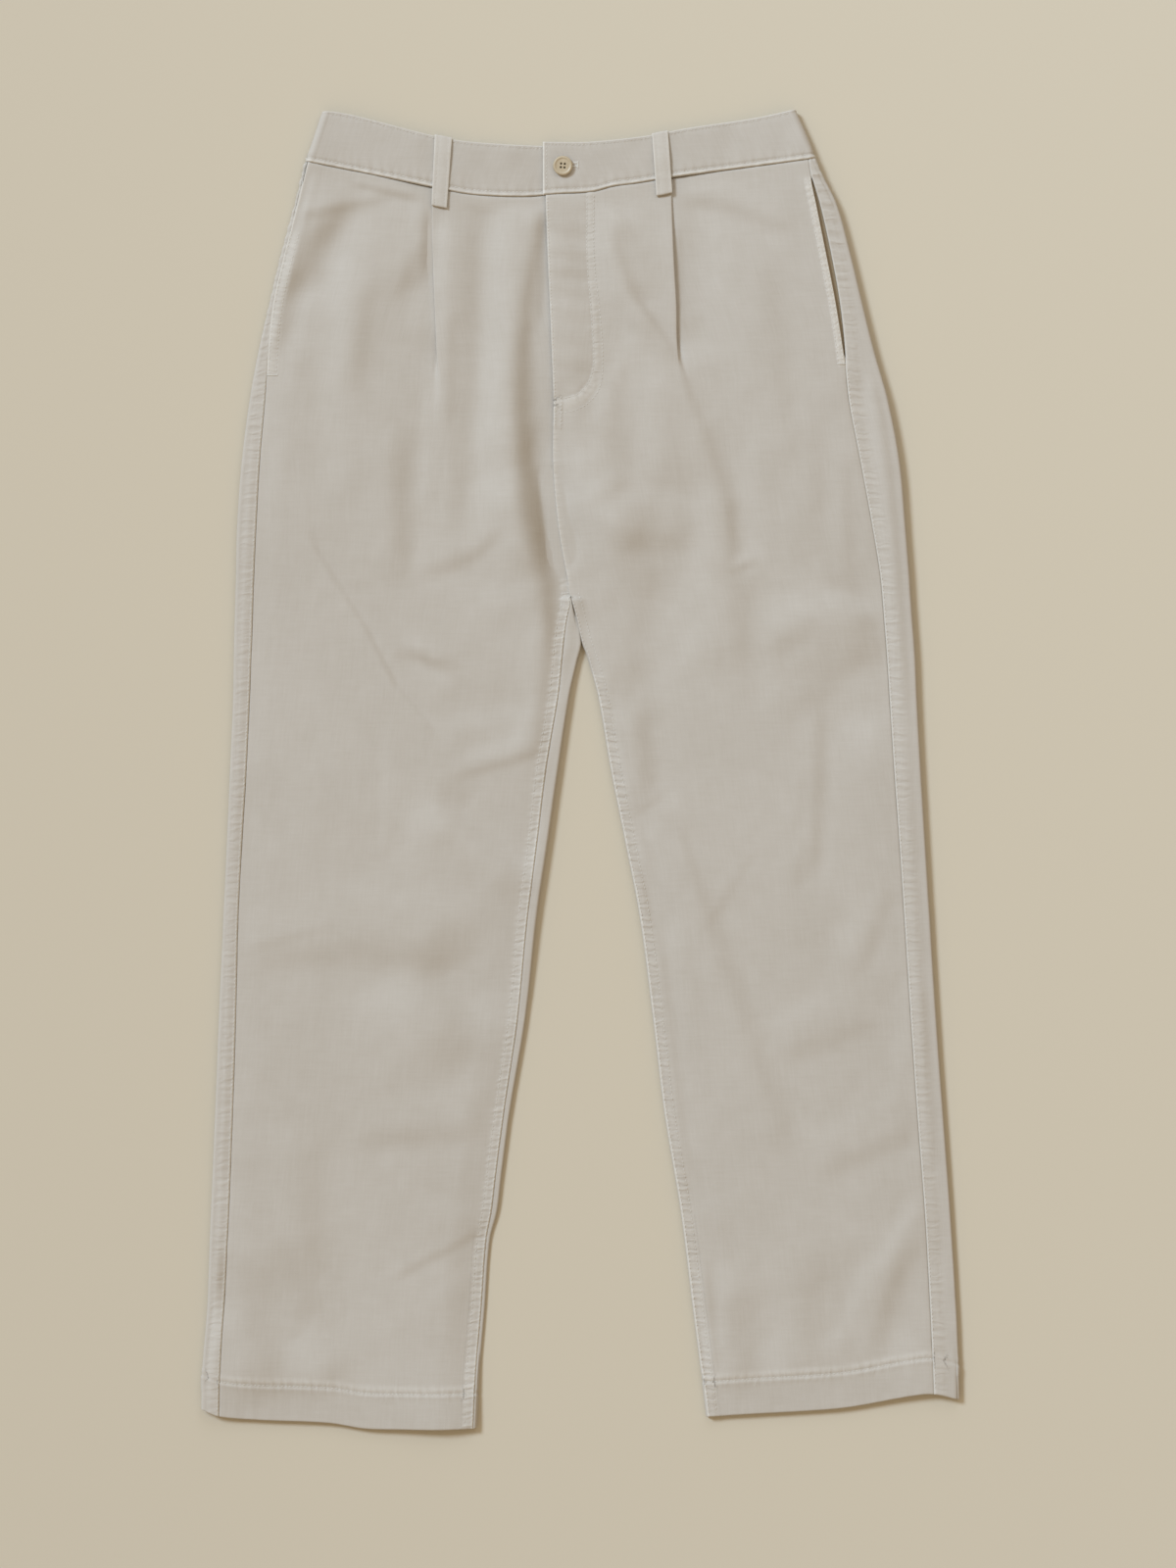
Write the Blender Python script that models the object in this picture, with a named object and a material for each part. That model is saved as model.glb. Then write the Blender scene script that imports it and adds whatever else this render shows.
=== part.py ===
"""Pleated chino trousers lying flat on their back, one closed solid for each sewn piece.

The frame is in metres: +Z up from the surface they lie on, the waist towards +Y and
the wearer's left side towards +X. The sizes below are in millimetres, and wall() turns
them into metres. Right and left are the wearer's.

Each leg's back panel lies flat underneath and rolls up over the leg's two edges onto
the top, where it meets the front panel at the outseam and at the inseam. The top layer's
height is one function of the place, top_height(), which every piece up there follows.
"""
import math

import bmesh
import bpy
from mathutils import Vector

MM = 0.001

# ---- cloth -------------------------------------------------------------------------
CLOTH = 1.2             # a panel's wall
HEM_CLOTH = 2.4         # the turned-up hem, two layers
HEM_DEPTH = 29.0
HEM_BLEND = 5.0         # the stitched edge over which the wall thickens
BAND_CLOTH = 2.4        # the waistband's wall
SEAM_GAP = 0.3          # between two sewn edges
WAIST_GAP = 0.4         # along the waist seam, whose curve the pieces follow in facets
PANEL_CLEARANCE = 0.4   # between the front panel and the back panel where they lie close

# ---- outline of each leg -----------------------------------------------------------
# outer_fold and inner_fold are the leg's edges, seen from above. Above the crotch the
# inner fold is the centre back seam. outseam and inseam are the front panel's edges, and
# above the crotch the inseam is the centre front. pleat is the pleat's folded edge, and
# below it the line down the middle of the front.
LEG_COLUMNS = ("y", "outer_fold", "outseam", "pleat", "inseam", "inner_fold")
RIGHT_LEG = (
    (500.0, -224.0, -218.0, -121.6, -29.5, -17.0),
    (460.0, -233.6, -228.0, -121.6, -28.8, -16.6),
    (420.0, -244.4, -238.6, -121.0, -27.4, -15.6),
    (380.0, -254.0, -248.2, -119.6, -25.6, -14.4),
    (340.0, -263.2, -254.4, -117.8, -24.0, -13.2),
    (300.0, -270.4, -258.2, -117.0, -22.6, -12.0),
    (250.0, -276.8, -261.8, -121.0, -22.8, -10.6),
    (200.0, -280.4, -264.6, -127.0, -18.8, -9.0),
    (160.0, -281.4, -266.5, -134.0, -12.0, -7.8),
    (140.0, -281.9, -267.2, -138.0, -7.2, -7.2),
    (124.0, -282.4, -267.7, -140.0, -10.8, -4.0),
    (104.0, -282.9, -268.3, -143.0, -13.8, 0.1),
    (88.0, -283.2, -269.0, -145.0, -15.4, -3.4),
    (60.0, -283.7, -270.0, -149.0, -18.2, -9.6),
    (0.0, -286.2, -272.8, -155.0, -28.4, -18.8),
    (-60.0, -288.8, -276.4, -160.0, -36.6, -28.6),
    (-120.0, -291.6, -279.4, -166.0, -45.2, -38.2),
    (-200.0, -295.2, -282.1, -172.0, -53.6, -47.0),
    (-280.0, -298.4, -284.6, -178.0, -64.0, -58.2),
    (-360.0, -301.8, -287.6, -184.0, -73.4, -67.4),
    (-440.0, -304.9, -291.8, -190.0, -85.8, -79.8),
    (-490.0, -309.0, -294.6, -193.0, -90.6, -84.8),
    (-540.0, -309.9, -296.2, -195.0, -91.6, -85.8),
)
LEFT_LEG = (
    (500.0, 190.6, 184.6, 73.6, -29.5, -17.0),
    (480.0, 200.4, 187.6, 73.8, -29.2, -16.8),
    (460.0, 210.0, 192.3, 74.0, -28.8, -16.6),
    (420.0, 221.2, 200.6, 75.4, -27.4, -15.6),
    (380.0, 230.6, 208.2, 77.6, -25.6, -14.4),
    (340.0, 240.4, 213.9, 79.4, -24.0, -13.2),
    (300.0, 251.0, 218.0, 90.0, -22.6, -12.0),
    (250.0, 260.4, 227.6, 104.0, -22.8, -10.6),
    (200.0, 264.8, 236.8, 114.0, -18.8, -9.0),
    (160.0, 267.4, 243.4, 122.0, -12.0, -7.8),
    (140.0, 268.7, 245.4, 126.0, -7.2, -7.2),
    (124.0, 269.8, 246.6, 130.0, -0.4, -3.2),
    (104.0, 271.4, 248.2, 134.0, 4.9, 1.3),
    (88.0, 272.4, 249.4, 138.0, 10.4, 5.8),
    (60.0, 273.6, 251.2, 145.0, 18.8, 13.4),
    (0.0, 276.8, 254.9, 152.0, 29.4, 23.8),
    (-60.0, 280.5, 259.2, 160.0, 41.4, 35.8),
    (-120.0, 284.2, 263.2, 167.0, 53.0, 47.4),
    (-200.0, 289.6, 268.3, 175.0, 63.6, 57.9),
    (-280.0, 295.6, 273.8, 184.0, 73.4, 67.6),
    (-360.0, 300.4, 279.9, 192.0, 86.6, 80.8),
    (-440.0, 304.3, 284.5, 198.0, 96.8, 90.8),
    (-490.0, 308.0, 286.6, 203.0, 103.0, 97.2),
    (-540.0, 308.8, 288.4, 206.0, 109.0, 103.2),
)
CROTCH_Y = 140.0

# Where the panels meet the waistband, and the waistband's top edge: x, y.
WAIST_SEAM = (
    (-226.0, 497.8), (-176.0, 487.4), (-122.0, 475.8), (-90.0, 469.8), (-50.0, 467.2),
    (-20.0, 468.4), (9.0, 472.4), (38.0, 480.0), (74.0, 484.2), (138.0, 492.0), (192.0, 498.4),
)
WAIST_TOP_RIGHT = ((-211.0, 536.0), (-200.0, 535.4), (-182.0, 532.0), (-120.0, 516.2),
                   (-90.0, 511.4), (-31.0, 508.2), (4.0, 509.0))
WAIST_TOP_LEFT = ((-31.0, 511.2), (6.0, 511.2), (54.0, 516.2), (86.0, 522.2),
                  (142.0, 530.6), (175.0, 537.6))

# The hems' lower edges: x, y.
HEM_EDGE_RIGHT = ((-309.0, -522.0), (-296.0, -527.4), (-264.0, -530.4), (-206.0, -533.0),
                  (-176.0, -537.6), (-148.0, -538.2), (-116.0, -538.4), (-87.0, -537.6))
HEM_EDGE_LEFT = ((103.0, -528.6), (126.0, -526.4), (198.0, -523.2), (223.0, -520.4),
                 (270.0, -511.2), (287.0, -508.8), (308.0, -513.2))

# ---- heights of the middle of the wall ---------------------------------------------
FRONT_FLOOR = CLOTH + PANEL_CLEARANCE + CLOTH / 2
HEM_FLOOR = HEM_CLOTH + PANEL_CLEARANCE + HEM_CLOTH / 2
HEM_LIFT_REACH = 45.0   # above the hem's stitching the front settles back onto the back
PUFF = ((500.0, 4.2), (420.0, 5.0), (300.0, 5.0), (220.0, 4.2), (150.0, 2.6), (90.0, 2.4),
        (0.0, 2.6), (-200.0, 2.2), (-400.0, 1.6), (-540.0, 0.6))
OUTER_ROLL = ((500.0, 9.0), (300.0, 10.0), (100.0, 9.0), (-300.0, 8.4), (-540.0, 9.0))
INNER_ROLL = ((150.0, 3.2), (104.0, 3.8), (80.0, 6.0), (50.0, 8.0), (-300.0, 8.0), (-540.0, 9.0))
ROLL_REACH = 34.0       # how far in from an edge its roll has died away
INNER_ROLL_START = 30.0  # the inner roll grows over this length below the crotch
SMALLEST_SEAM_INSET = 0.7  # a seam is at least this far in from the top of the roll

# The waistband's front layer: x, height of the middle of its wall.
BAND_HEIGHT_RIGHT = ((-216.0, 9.0), (-190.0, 7.4), (-122.0, 7.0), (-60.0, 5.4),
                     (-30.0, 4.1), (4.0, 4.1))
BAND_HEIGHT_LEFT = ((-32.0, 6.9), (18.0, 6.9), (45.0, 6.9), (74.0, 7.0), (140.0, 7.2),
                    (184.0, 9.0))
BAND_PROUD = 1.0        # the waistband's face over the panels' face
BAND_BLEND = 60.0       # below the waist the panels leave the waistband's height

# The waistband's halves: x of the side at the seam and at the top, and x of the front end.
BAND_SIDES = {"right": (-224.8, -211.0), "left": (191.4, 175.0)}
BAND_ENDS = {"right": 2.0, "left": -31.2}
CENTRE_BACK_X = -17.0

# ---- soft folds: a ridge (+) or trough (-) along a line ------------------------------
# The line's start x, y and end x, y, then the fold's width and its height.
FOLDS = (
    (-66.0, 452.0, -63.0, 190.0, 12.0, 2.8),
    (-47.0, 436.0, -45.0, 300.0, 9.0, -2.2),
    (-49.0, 300.0, -38.0, 180.0, 12.0, -3.4),
    (-38.0, 180.0, -27.0, 104.0, 12.0, -3.0),
    (-128.0, 240.0, -122.0, 190.0, 15.0, 2.4),
    (-151.0, 250.0, -151.0, 164.0, 13.0, -2.6),
    (-198.0, 318.0, -198.0, 250.0, 17.0, 2.2),
    (-180.0, 452.0, -232.0, 405.0, 17.0, -2.0),
    (-218.0, 186.0, -150.0, 68.0, 13.0, 1.6),
    (-150.0, 68.0, -80.0, -60.0, 13.0, 1.6),
    (-250.0, -136.0, -90.0, -148.0, 26.0, -1.8),
    (22.0, 446.0, 22.0, 366.0, 12.0, 2.4),
    (26.0, 430.0, 52.0, 366.0, 11.0, -2.4),
    (36.0, 334.0, 7.0, 224.0, 13.0, -3.0),
    (98.0, 206.0, 22.0, 198.0, 14.0, -2.0),
    (97.0, 200.0, 97.0, 116.0, 15.0, 2.4),
    (90.0, 250.0, 124.0, 166.0, 11.0, 2.2),
    (229.0, 168.0, 204.0, 116.0, 12.0, -2.2),
    (77.0, -52.0, 137.0, -230.0, 15.0, -2.0),
    (188.0, 10.0, 179.0, -82.0, 15.0, -1.8),
    (237.0, -72.0, 208.0, -205.0, 15.0, -2.0),
    (262.0, -336.0, 208.0, -440.0, 16.0, 1.8),
)
FOLD_TAIL = 22.0        # a fold fades out over this length past its ends

# ---- pleats ------------------------------------------------------------------------
# Below the waist: the cloth folded under at the pleat, the angle that each of its two
# turns goes through, and the length of a turn. 180 degrees is a shut pleat.
PLEAT_COLUMNS = ("below_waist", "depth", "turn", "arc")
PLEAT = (
    (0.0, 16.0, 180.0, 2.67),
    (80.0, 11.0, 180.0, 2.67),
    (120.0, 4.0, 180.0, 2.67),
    (140.0, 1.0, 155.0, 2.3),
    (160.0, 0.6, 110.0, 1.9),
    (180.0, 1.0, 60.0, 2.2),
    (205.0, 2.0, 25.0, 3.2),
    (235.0, 3.0, 6.0, 5.0),
)
PLEAT_LEAST_DEPTH = 0.5
PLEAT_TURN_STEPS = 4
PLEAT_FOOT = 3.0        # the cloth beside the pleat lies level this far out
PLEAT_FOOT_GAP = 1.5    # and at least this far out from the pleat's last turn
PLEAT_REACH = 48.0      # and has risen again this far out
PLEAT_CALM = (26.0, 44.0)  # folds are absent this near to the pleat, and whole this far off

# ---- fly and centre front ----------------------------------------------------------
# Down from the waist, how far the right front lies under the left, and the height
# between the middles of their walls.
LAP_COLUMNS = ("y", "width", "step")
LAP = ((500.0, 12.0, 2.8), (300.0, 12.0, 2.8), (250.0, 8.0, 2.0), (190.0, 7.0, 1.9),
       (160.0, 3.0, 1.9), (146.0, -0.15, 1.9), (140.0, -0.15, 1.8), (100.0, -0.15, 0.0))
LAP_REACH = 24.0        # the step is shared out over this width on each side

# ---- pockets -----------------------------------------------------------------------
# The open mouths along the outseam: y at the top and at the bottom, how far it gapes.
POCKET_MOUTHS = {"right": (452.0, 321.0, 1.2), "left": (482.0, 330.0, 1.8)}
MOUTH_LIFT = 0.9        # the mouth's edge stands up by this much
MOUTH_LIFT_REACH = 16.0
FACING_CLOTH = 1.0
FACING_UNDER_FRONT = 26.0
FACING_UNDER_BACK = {"right": 1.0, "left": 5.0}
FACING_DROP = 2.2       # the middle of its wall below the panels'
FACING_LOWEST = CLOTH + PANEL_CLEARANCE + FACING_CLOTH / 2
FACING_END = 8.0        # it runs past the mouth's ends

# ---- belt loops: x of the top, x and y of the foot, width of the top and of the foot ---
LOOPS = {"right": (-112.2, -115.6, 457.6, 14.0, 12.4), "left": (64.2, 67.8, 467.6, 13.0, 13.0)}
LOOP_CLOTH = 1.4
LOOP_CLEARANCE = 0.4
LOOP_BULGE = 0.9
LOOP_TURN_UNDER = 9.0

# ---- button ------------------------------------------------------------------------
BUTTON_CENTRE = (-14.4, 492.0)
BUTTON_RADIUS = 8.0
BUTTON_THICKNESS = 3.0
BUTTON_TURN = math.radians(-5)
BUTTON_RIM_WIDTH = 2.2
BUTTON_DISH = 0.9
BUTTON_HOLE_RADIUS = 0.95
BUTTON_HOLE_SPACING = 3.3
BUTTON_SEGMENTS = 32

# ---- density of the meshes -----------------------------------------------------------
# Stretches of a leg, from the waist (0) to the hem's edge (1): start, steps to the next.
ROW_STRETCHES = ((0.0, 2), (0.02, 9), (0.195, 2), (0.24, 3), (0.305, 2), (0.3275, 3),
                 (0.3325, 2), (0.36, 3), (0.42, 14), (0.93, 2), (0.966, 1), (0.971, 2), (1.0, 0))
ROLL_OPENING = (0.3275, 0.3325)  # the inner roll opens flat between these, at the crotch
OUTER_COLUMNS = 8
INNER_COLUMNS = 8
ROLL_STEPS = 4
FLAT_STEP = 0.65        # above the crotch, between the points that become the inner roll
BACK_COLUMNS = 5        # across the flat underside, the same in the waistband's back
BAND_ROWS = 3
BAND_FRONT_COLUMNS = 20
FACING_ROWS = 10
FACING_COLUMNS = 3

CLOTH_COLOR = (0.50, 0.46, 0.40, 1.0)
SHADE_COLOR = (0.36, 0.33, 0.28, 1.0)
BUTTON_COLOR = (0.58, 0.46, 0.29, 1.0)


# ==== curves and tables ===============================================================
def mix(start, end, share):
    return start + (end - start) * share


def clamp(value, low=0.0, high=1.0):
    return max(low, min(high, value))


def ease(share):
    """0 to 1 with level ends."""
    share = clamp(share)
    return share * share * (3 - 2 * share)


def fade(distance, reach):
    """1 at no distance, 0 at the reach, level at both."""
    return 1 - ease(distance / reach)


class Curve:
    """A smooth curve through (station, value) pairs, which runs on straight past its ends."""

    def __init__(self, pairs):
        ordered = sorted(pairs)
        self.stations = [pair[0] for pair in ordered]
        self.values = [pair[1] for pair in ordered]
        self.slopes = [self.slope(index) for index in range(len(ordered))]

    def slope(self, index):
        before = max(index - 1, 0)
        after = min(index + 1, len(self.stations) - 1)
        rise = self.values[after] - self.values[before]
        return rise / (self.stations[after] - self.stations[before])

    def __call__(self, station):
        if station <= self.stations[0]:
            return self.values[0] + (station - self.stations[0]) * self.slopes[0]
        if station >= self.stations[-1]:
            return self.values[-1] + (station - self.stations[-1]) * self.slopes[-1]
        index = 0
        while self.stations[index + 1] < station:
            index += 1
        width = self.stations[index + 1] - self.stations[index]
        share = (station - self.stations[index]) / width
        square = share * share
        cube = square * share
        return ((2 * cube - 3 * square + 1) * self.values[index]
                + (cube - 2 * square + share) * width * self.slopes[index]
                + (3 * square - 2 * cube) * self.values[index + 1]
                + (cube - square) * width * self.slopes[index + 1])


def curves_of(table, columns):
    """One curve for each column of a table after its first."""
    return {name: Curve([(row[0], row[place]) for row in table])
            for place, name in enumerate(columns) if place}


waist_seam = Curve(WAIST_SEAM)
puff = Curve(PUFF)
outer_roll = Curve(OUTER_ROLL)
inner_roll = Curve(INNER_ROLL)
waist_tops = {"right": Curve(WAIST_TOP_RIGHT), "left": Curve(WAIST_TOP_LEFT)}
pleat_shape = curves_of(PLEAT, PLEAT_COLUMNS)
lap = curves_of(LAP, LAP_COLUMNS)


# ==== one leg =========================================================================
class Leg:
    """A leg's outline and the places of its rows. outward is -1 for right, +1 for left."""

    def __init__(self, name, outward, table, hem_edge, band_height):
        self.name = name
        self.outward = outward
        self.lines = curves_of(table, LEG_COLUMNS)
        self.hem_edge = Curve(hem_edge)
        self.band_height = Curve(band_height)
        self.inner_hem_x = hem_edge[-1][0] if outward < 0 else hem_edge[0][0]

    def line(self, name, y):
        return self.lines[name](y)

    def inward_from_outer(self, x, y):
        return self.outward * (self.line("outer_fold", y) - x)

    def inward_from_inner(self, x, y):
        return self.outward * (x - self.line("inner_fold", y))

    def outer_seam(self, y):
        """The outseam, kept just in from the top of the roll."""
        inset = max(self.inward_from_outer(self.line("outseam", y), y),
                    self.roll_inset(outer_roll(y), y) + SMALLEST_SEAM_INSET)
        return self.line("outer_fold", y) - self.outward * inset

    def inner_seam(self, y):
        """The inseam, or above the crotch the centre front."""
        if y >= CROTCH_Y:
            return self.line("inseam", y)
        inset = max(self.inward_from_inner(self.line("inseam", y), y),
                    self.roll_inset(inner_roll(y), y) + SMALLEST_SEAM_INSET)
        return self.line("inner_fold", y) + self.outward * inset

    def wall_at(self, y, x):
        """The wall's thickness, more in the hem."""
        above_edge = y - self.hem_edge_at(x)
        return mix(HEM_CLOTH, CLOTH, ease((above_edge - HEM_DEPTH + HEM_BLEND / 2) / HEM_BLEND))

    def hem_edge_at(self, x):
        """The hem's edge, level past the leg's inner side."""
        if self.outward * (x - self.inner_hem_x) < 0:
            x = self.inner_hem_x
        return self.hem_edge(x)

    def roll_inset(self, roll_height, y):
        """From a leg's edge to the top of its roll: half the wall and the roll's radius."""
        wall = self.wall_at(y, self.line("pleat", y))
        return wall / 2 + (roll_height - wall / 2) / 2

    def row_y(self, share, x):
        """Rows run like the waist seam at the top and like the hem at the bottom."""
        top = waist_seam(x) - WAIST_GAP / 2
        return mix(top, self.hem_edge_at(x), share)

    def settle(self, share, x_at):
        """The point where a row meets a line down the leg, given as x for each y."""
        y = self.row_y(share, self.line("pleat", 0.0))
        for _ in range(4):
            x = x_at(y)
            y = self.row_y(share, x)
        return x, y

    def pleat_at(self, x, y):
        """The pleat's depth, turn and radius at a place, or None past its end."""
        below_waist = waist_seam(x) - y
        if below_waist > PLEAT[-1][0]:
            return None
        turn = math.radians(min(pleat_shape["turn"](below_waist), PLEAT[0][2]))
        depth = max(pleat_shape["depth"](below_waist), PLEAT_LEAST_DEPTH)
        return depth, turn, pleat_shape["arc"](below_waist) / turn

    def pleat_drop(self, x, y):
        """How far the cloth beside the pleat lies below the pleat's top layer."""
        pleat = self.pleat_at(x, y)
        if pleat is None:
            return 0.0
        depth, turn, radius = pleat
        return 2 * radius * (1 - math.cos(turn)) + depth * math.sin(turn)


RIGHT = Leg("right", -1, RIGHT_LEG, HEM_EDGE_RIGHT, BAND_HEIGHT_RIGHT)
LEFT = Leg("left", 1, LEFT_LEG, HEM_EDGE_LEFT, BAND_HEIGHT_LEFT)


# ==== heights =========================================================================
def fold_relief(x, y):
    """The soft ridges and troughs at a place."""
    relief = 0.0
    for x0, y0, x1, y1, width, height in FOLDS:
        along_x, along_y = x1 - x0, y1 - y0
        length = math.hypot(along_x, along_y)
        along = ((x - x0) * along_x + (y - y0) * along_y) / length
        across = ((x - x0) * along_y - (y - y0) * along_x) / length
        past_end = max(-along, along - length, 0.0)
        relief += height * math.exp(-(across / width) ** 2 - (past_end / FOLD_TAIL) ** 2)
    return relief


def front_floor(leg, x, y):
    """The lowest the front may lie, just clear of the back."""
    above_edge = y - leg.hem_edge_at(x)
    return mix(FRONT_FLOOR, HEM_FLOOR, fade(above_edge - HEM_DEPTH, HEM_LIFT_REACH))


def top_height(leg, x, y):
    """The middle of the top layer's wall, before the pleat and the lap at the fly."""
    floor = front_floor(leg, x, y)
    level = floor + puff(y)
    outer = fade(leg.inward_from_outer(x, y) - leg.roll_inset(outer_roll(y), y), ROLL_REACH)
    inner = fade(leg.inward_from_inner(x, y) - leg.roll_inset(inner_roll(y), y), ROLL_REACH)
    inner *= ease((CROTCH_Y - y) / INNER_ROLL_START)
    below_waist = waist_seam(x) - y
    in_pleat = fade(below_waist - PLEAT[-1][0], FOLD_TAIL)
    from_pleat = abs(x - leg.line("pleat", y)) - PLEAT_CALM[0]
    calm = in_pleat * fade(from_pleat, PLEAT_CALM[1] - PLEAT_CALM[0])
    height = level + fold_relief(x, y) * (1 - calm) * (1 - outer) * (1 - inner)
    height = max(height, floor)
    height = mix(height, outer_roll(y), outer)
    height = mix(height, inner_roll(y), inner)
    at_band = leg.band_height(x) + BAND_CLOTH / 2 - BAND_PROUD - CLOTH / 2
    return mix(at_band, height, ease(below_waist / BAND_BLEND))


def lap_shift(leg, x, y):
    """The left front rises over the right front at the fly, and the right one sinks."""
    edge = leg.line("inseam", y)
    from_lap = abs(x - edge) - lap["width"](y)
    share = fade(from_lap, LAP_REACH) * ease((waist_seam(x) - y) / BAND_BLEND)
    return leg.outward * lap["step"](y) / 2 * share if y > LAP[-1][0] else 0.0


def front_height(leg, x, y):
    """The front panel's height, with the step down beside its pleat."""
    height = top_height(leg, x, y) + lap_shift(leg, x, y)
    past_pleat = leg.outward * (x - leg.line("pleat", y))
    if past_pleat > 0:
        height -= leg.pleat_drop(x, y) * fade(past_pleat - PLEAT_FOOT, PLEAT_REACH)
    return max(height, front_floor(leg, x, y))


def mouth_share(leg, y):
    """0 at a pocket mouth's ends and beyond, 1 in its middle."""
    top, bottom, _ = POCKET_MOUTHS[leg.name]
    return math.sin(math.pi * clamp((top - y) / (top - bottom))) ** 0.6


# ==== walls ===========================================================================
def row_shares():
    """The rows of a leg from the waist to the hem, as shares of its length."""
    shares = []
    for (start, steps), (end, _) in zip(ROW_STRETCHES, ROW_STRETCHES[1:]):
        shares.extend(mix(start, end, step / steps) for step in range(steps))
    return shares + [1.0]


def row_cells(longer, shorter, fork):
    """The cells between two rows of indices. The longer row has its extra points after fork."""
    extra = len(longer) - len(shorter)
    for place in range(len(shorter) - 1):
        shift = extra if place > fork else 0
        if place == fork and extra:
            for step in range(extra + 1):
                yield shorter[place], longer[place + step], longer[place + step + 1]
            yield shorter[place], longer[place + extra + 1], shorter[place + 1]
        else:
            here = place + shift
            yield shorter[place], longer[here], longer[here + 1]
            yield shorter[place], longer[here + 1], shorter[place + 1]


def wall(name, rows, material, fork=0):
    """A closed solid around a sheet of (middle, half wall) pairs in rows, in millimetres."""
    mesh = bmesh.new()
    faces = {}
    for side in (1, -1):
        faces[side] = [[mesh.verts.new((middle + half * side) * MM) for middle, half in row]
                       for row in rows]
    for row, following in zip(range(len(rows)), range(1, len(rows))):
        for side in (1, -1):
            for corners in row_cells(faces[side][row], faces[side][following], fork):
                mesh.faces.new(corners)
    rims = [[faces[side][0] for side in (1, -1)], [faces[side][-1] for side in (1, -1)],
            [[row[0] for row in faces[side]] for side in (1, -1)],
            [[row[-1] for row in faces[side]] for side in (1, -1)]]
    for upper, lower in rims:
        for corners in row_cells(upper, lower, -1):
            mesh.faces.new(corners)
    bmesh.ops.recalc_face_normals(mesh, faces=mesh.faces)
    if mesh.calc_volume(signed=True) < 0:
        bmesh.ops.reverse_faces(mesh, faces=mesh.faces)
    return finished(name, mesh, material)


def finished(name, mesh, material):
    data = bpy.data.meshes.new(name)
    mesh.to_mesh(data)
    mesh.free()
    data.materials.append(material)
    piece = bpy.data.objects.new(name, data)
    bpy.context.collection.objects.link(piece)
    return piece


def principled(name, color, roughness):
    material = bpy.data.materials.new(name)
    material.use_nodes = True
    shader = material.node_tree.nodes["Principled BSDF"]
    shader.inputs["Base Color"].default_value = color
    shader.inputs["Roughness"].default_value = roughness
    shader.inputs["Metallic"].default_value = 0.0
    return material


def upright(x, y, z, thickness):
    """A sheet's point whose wall is measured straight up."""
    return Vector((x, y, z)), Vector((0, 0, thickness / 2))


def on_floor(x, y, thickness):
    """A point of the underside, whose outer face looks down."""
    return Vector((x, y, thickness / 2)), Vector((0, 0, -thickness / 2))


# ==== front panels ====================================================================
def pleat_path(depth, turn, radius):
    """Across the pleat from its top layer to the cloth beside it: outward, down, angle."""
    furthest = math.sin(min(turn, math.pi / 2))
    start = -radius * furthest - CLOTH / 2
    angles = [turn * step / PLEAT_TURN_STEPS for step in range(PLEAT_TURN_STEPS + 1)]
    path = [(start + radius * math.sin(angle), radius * (1 - math.cos(angle)), angle)
            for angle in angles]
    out, down, _ = path[-1]
    out += depth * math.cos(turn) + radius * math.sin(turn)
    down += depth * math.sin(turn) - radius * math.cos(turn)
    path += [(out - radius * math.sin(angle), down + radius * math.cos(angle), angle)
             for angle in reversed(angles)]
    return path


def pleat_points(leg, share):
    """The pleat's points in a row, from the cloth beside it to its top layer."""
    edge, y = leg.settle(share, lambda y: leg.line("pleat", y))
    points = []
    for out, down, angle in pleat_path(*leg.pleat_at(edge, y)):
        x = edge + leg.outward * out
        y = leg.row_y(share, x)
        z = top_height(leg, x, y) + lap_shift(leg, x, y) - down
        normal = Vector((leg.outward * math.sin(angle), 0, math.cos(angle)))
        points.append((Vector((x, y, z)), normal * CLOTH / 2))
    return points[::-1]


def front_edge_outer(leg, y):
    """The front's edge at the outseam, drawn back where the pocket's mouth gapes."""
    gape = POCKET_MOUTHS[leg.name][2] * mouth_share(leg, y)
    return leg.outer_seam(y) - leg.outward * (SEAM_GAP / 2 + gape)


def front_edge_inner(leg, y):
    """The front's edge at the inseam, or at the fly, where the right front runs under."""
    if y < CROTCH_Y:
        return leg.inner_seam(y) + leg.outward * SEAM_GAP / 2
    if leg.name == "left":
        return leg.inner_seam(y)
    return leg.inner_seam(y) + max(lap["width"](y), -SEAM_GAP / 2)


def front_point(leg, share, x_at):
    x, y = leg.settle(share, x_at)
    z = front_height(leg, x, y)
    from_mouth = leg.outward * (front_edge_outer(leg, y) - x)
    z += MOUTH_LIFT * mouth_share(leg, y) * fade(from_mouth, MOUTH_LIFT_REACH)
    return upright(x, y, z, leg.wall_at(y, x))


def front_rows(leg):
    rows = []
    for share in row_shares():
        _, y_at_pleat = leg.settle(share, lambda y: leg.line("pleat", y))
        pleat = leg.pleat_at(leg.line("pleat", y_at_pleat), y_at_pleat)
        foot = PLEAT_FOOT
        if pleat is not None:
            foot = max(foot, pleat_path(*pleat)[-1][0] + PLEAT_FOOT_GAP)
        row = []
        for column in range(OUTER_COLUMNS + 1):
            across = column / OUTER_COLUMNS
            row.append(front_point(leg, share, lambda y: mix(
                front_edge_outer(leg, y),
                leg.line("pleat", y) + leg.outward * foot, across)))
        if pleat is not None:
            row += pleat_points(leg, share)
        for column in range(0 if pleat is None else 1, INNER_COLUMNS + 1):
            across = column / INNER_COLUMNS
            row.append(front_point(leg, share, lambda y: mix(
                leg.line("pleat", y), front_edge_inner(leg, y), across)))
        rows.append(row)
    return rows


def build_front(leg):
    material = principled(f"front {leg.name} cloth", CLOTH_COLOR, 0.9)
    wall(f"front_{leg.name}", front_rows(leg), material, fork=OUTER_COLUMNS)


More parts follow.
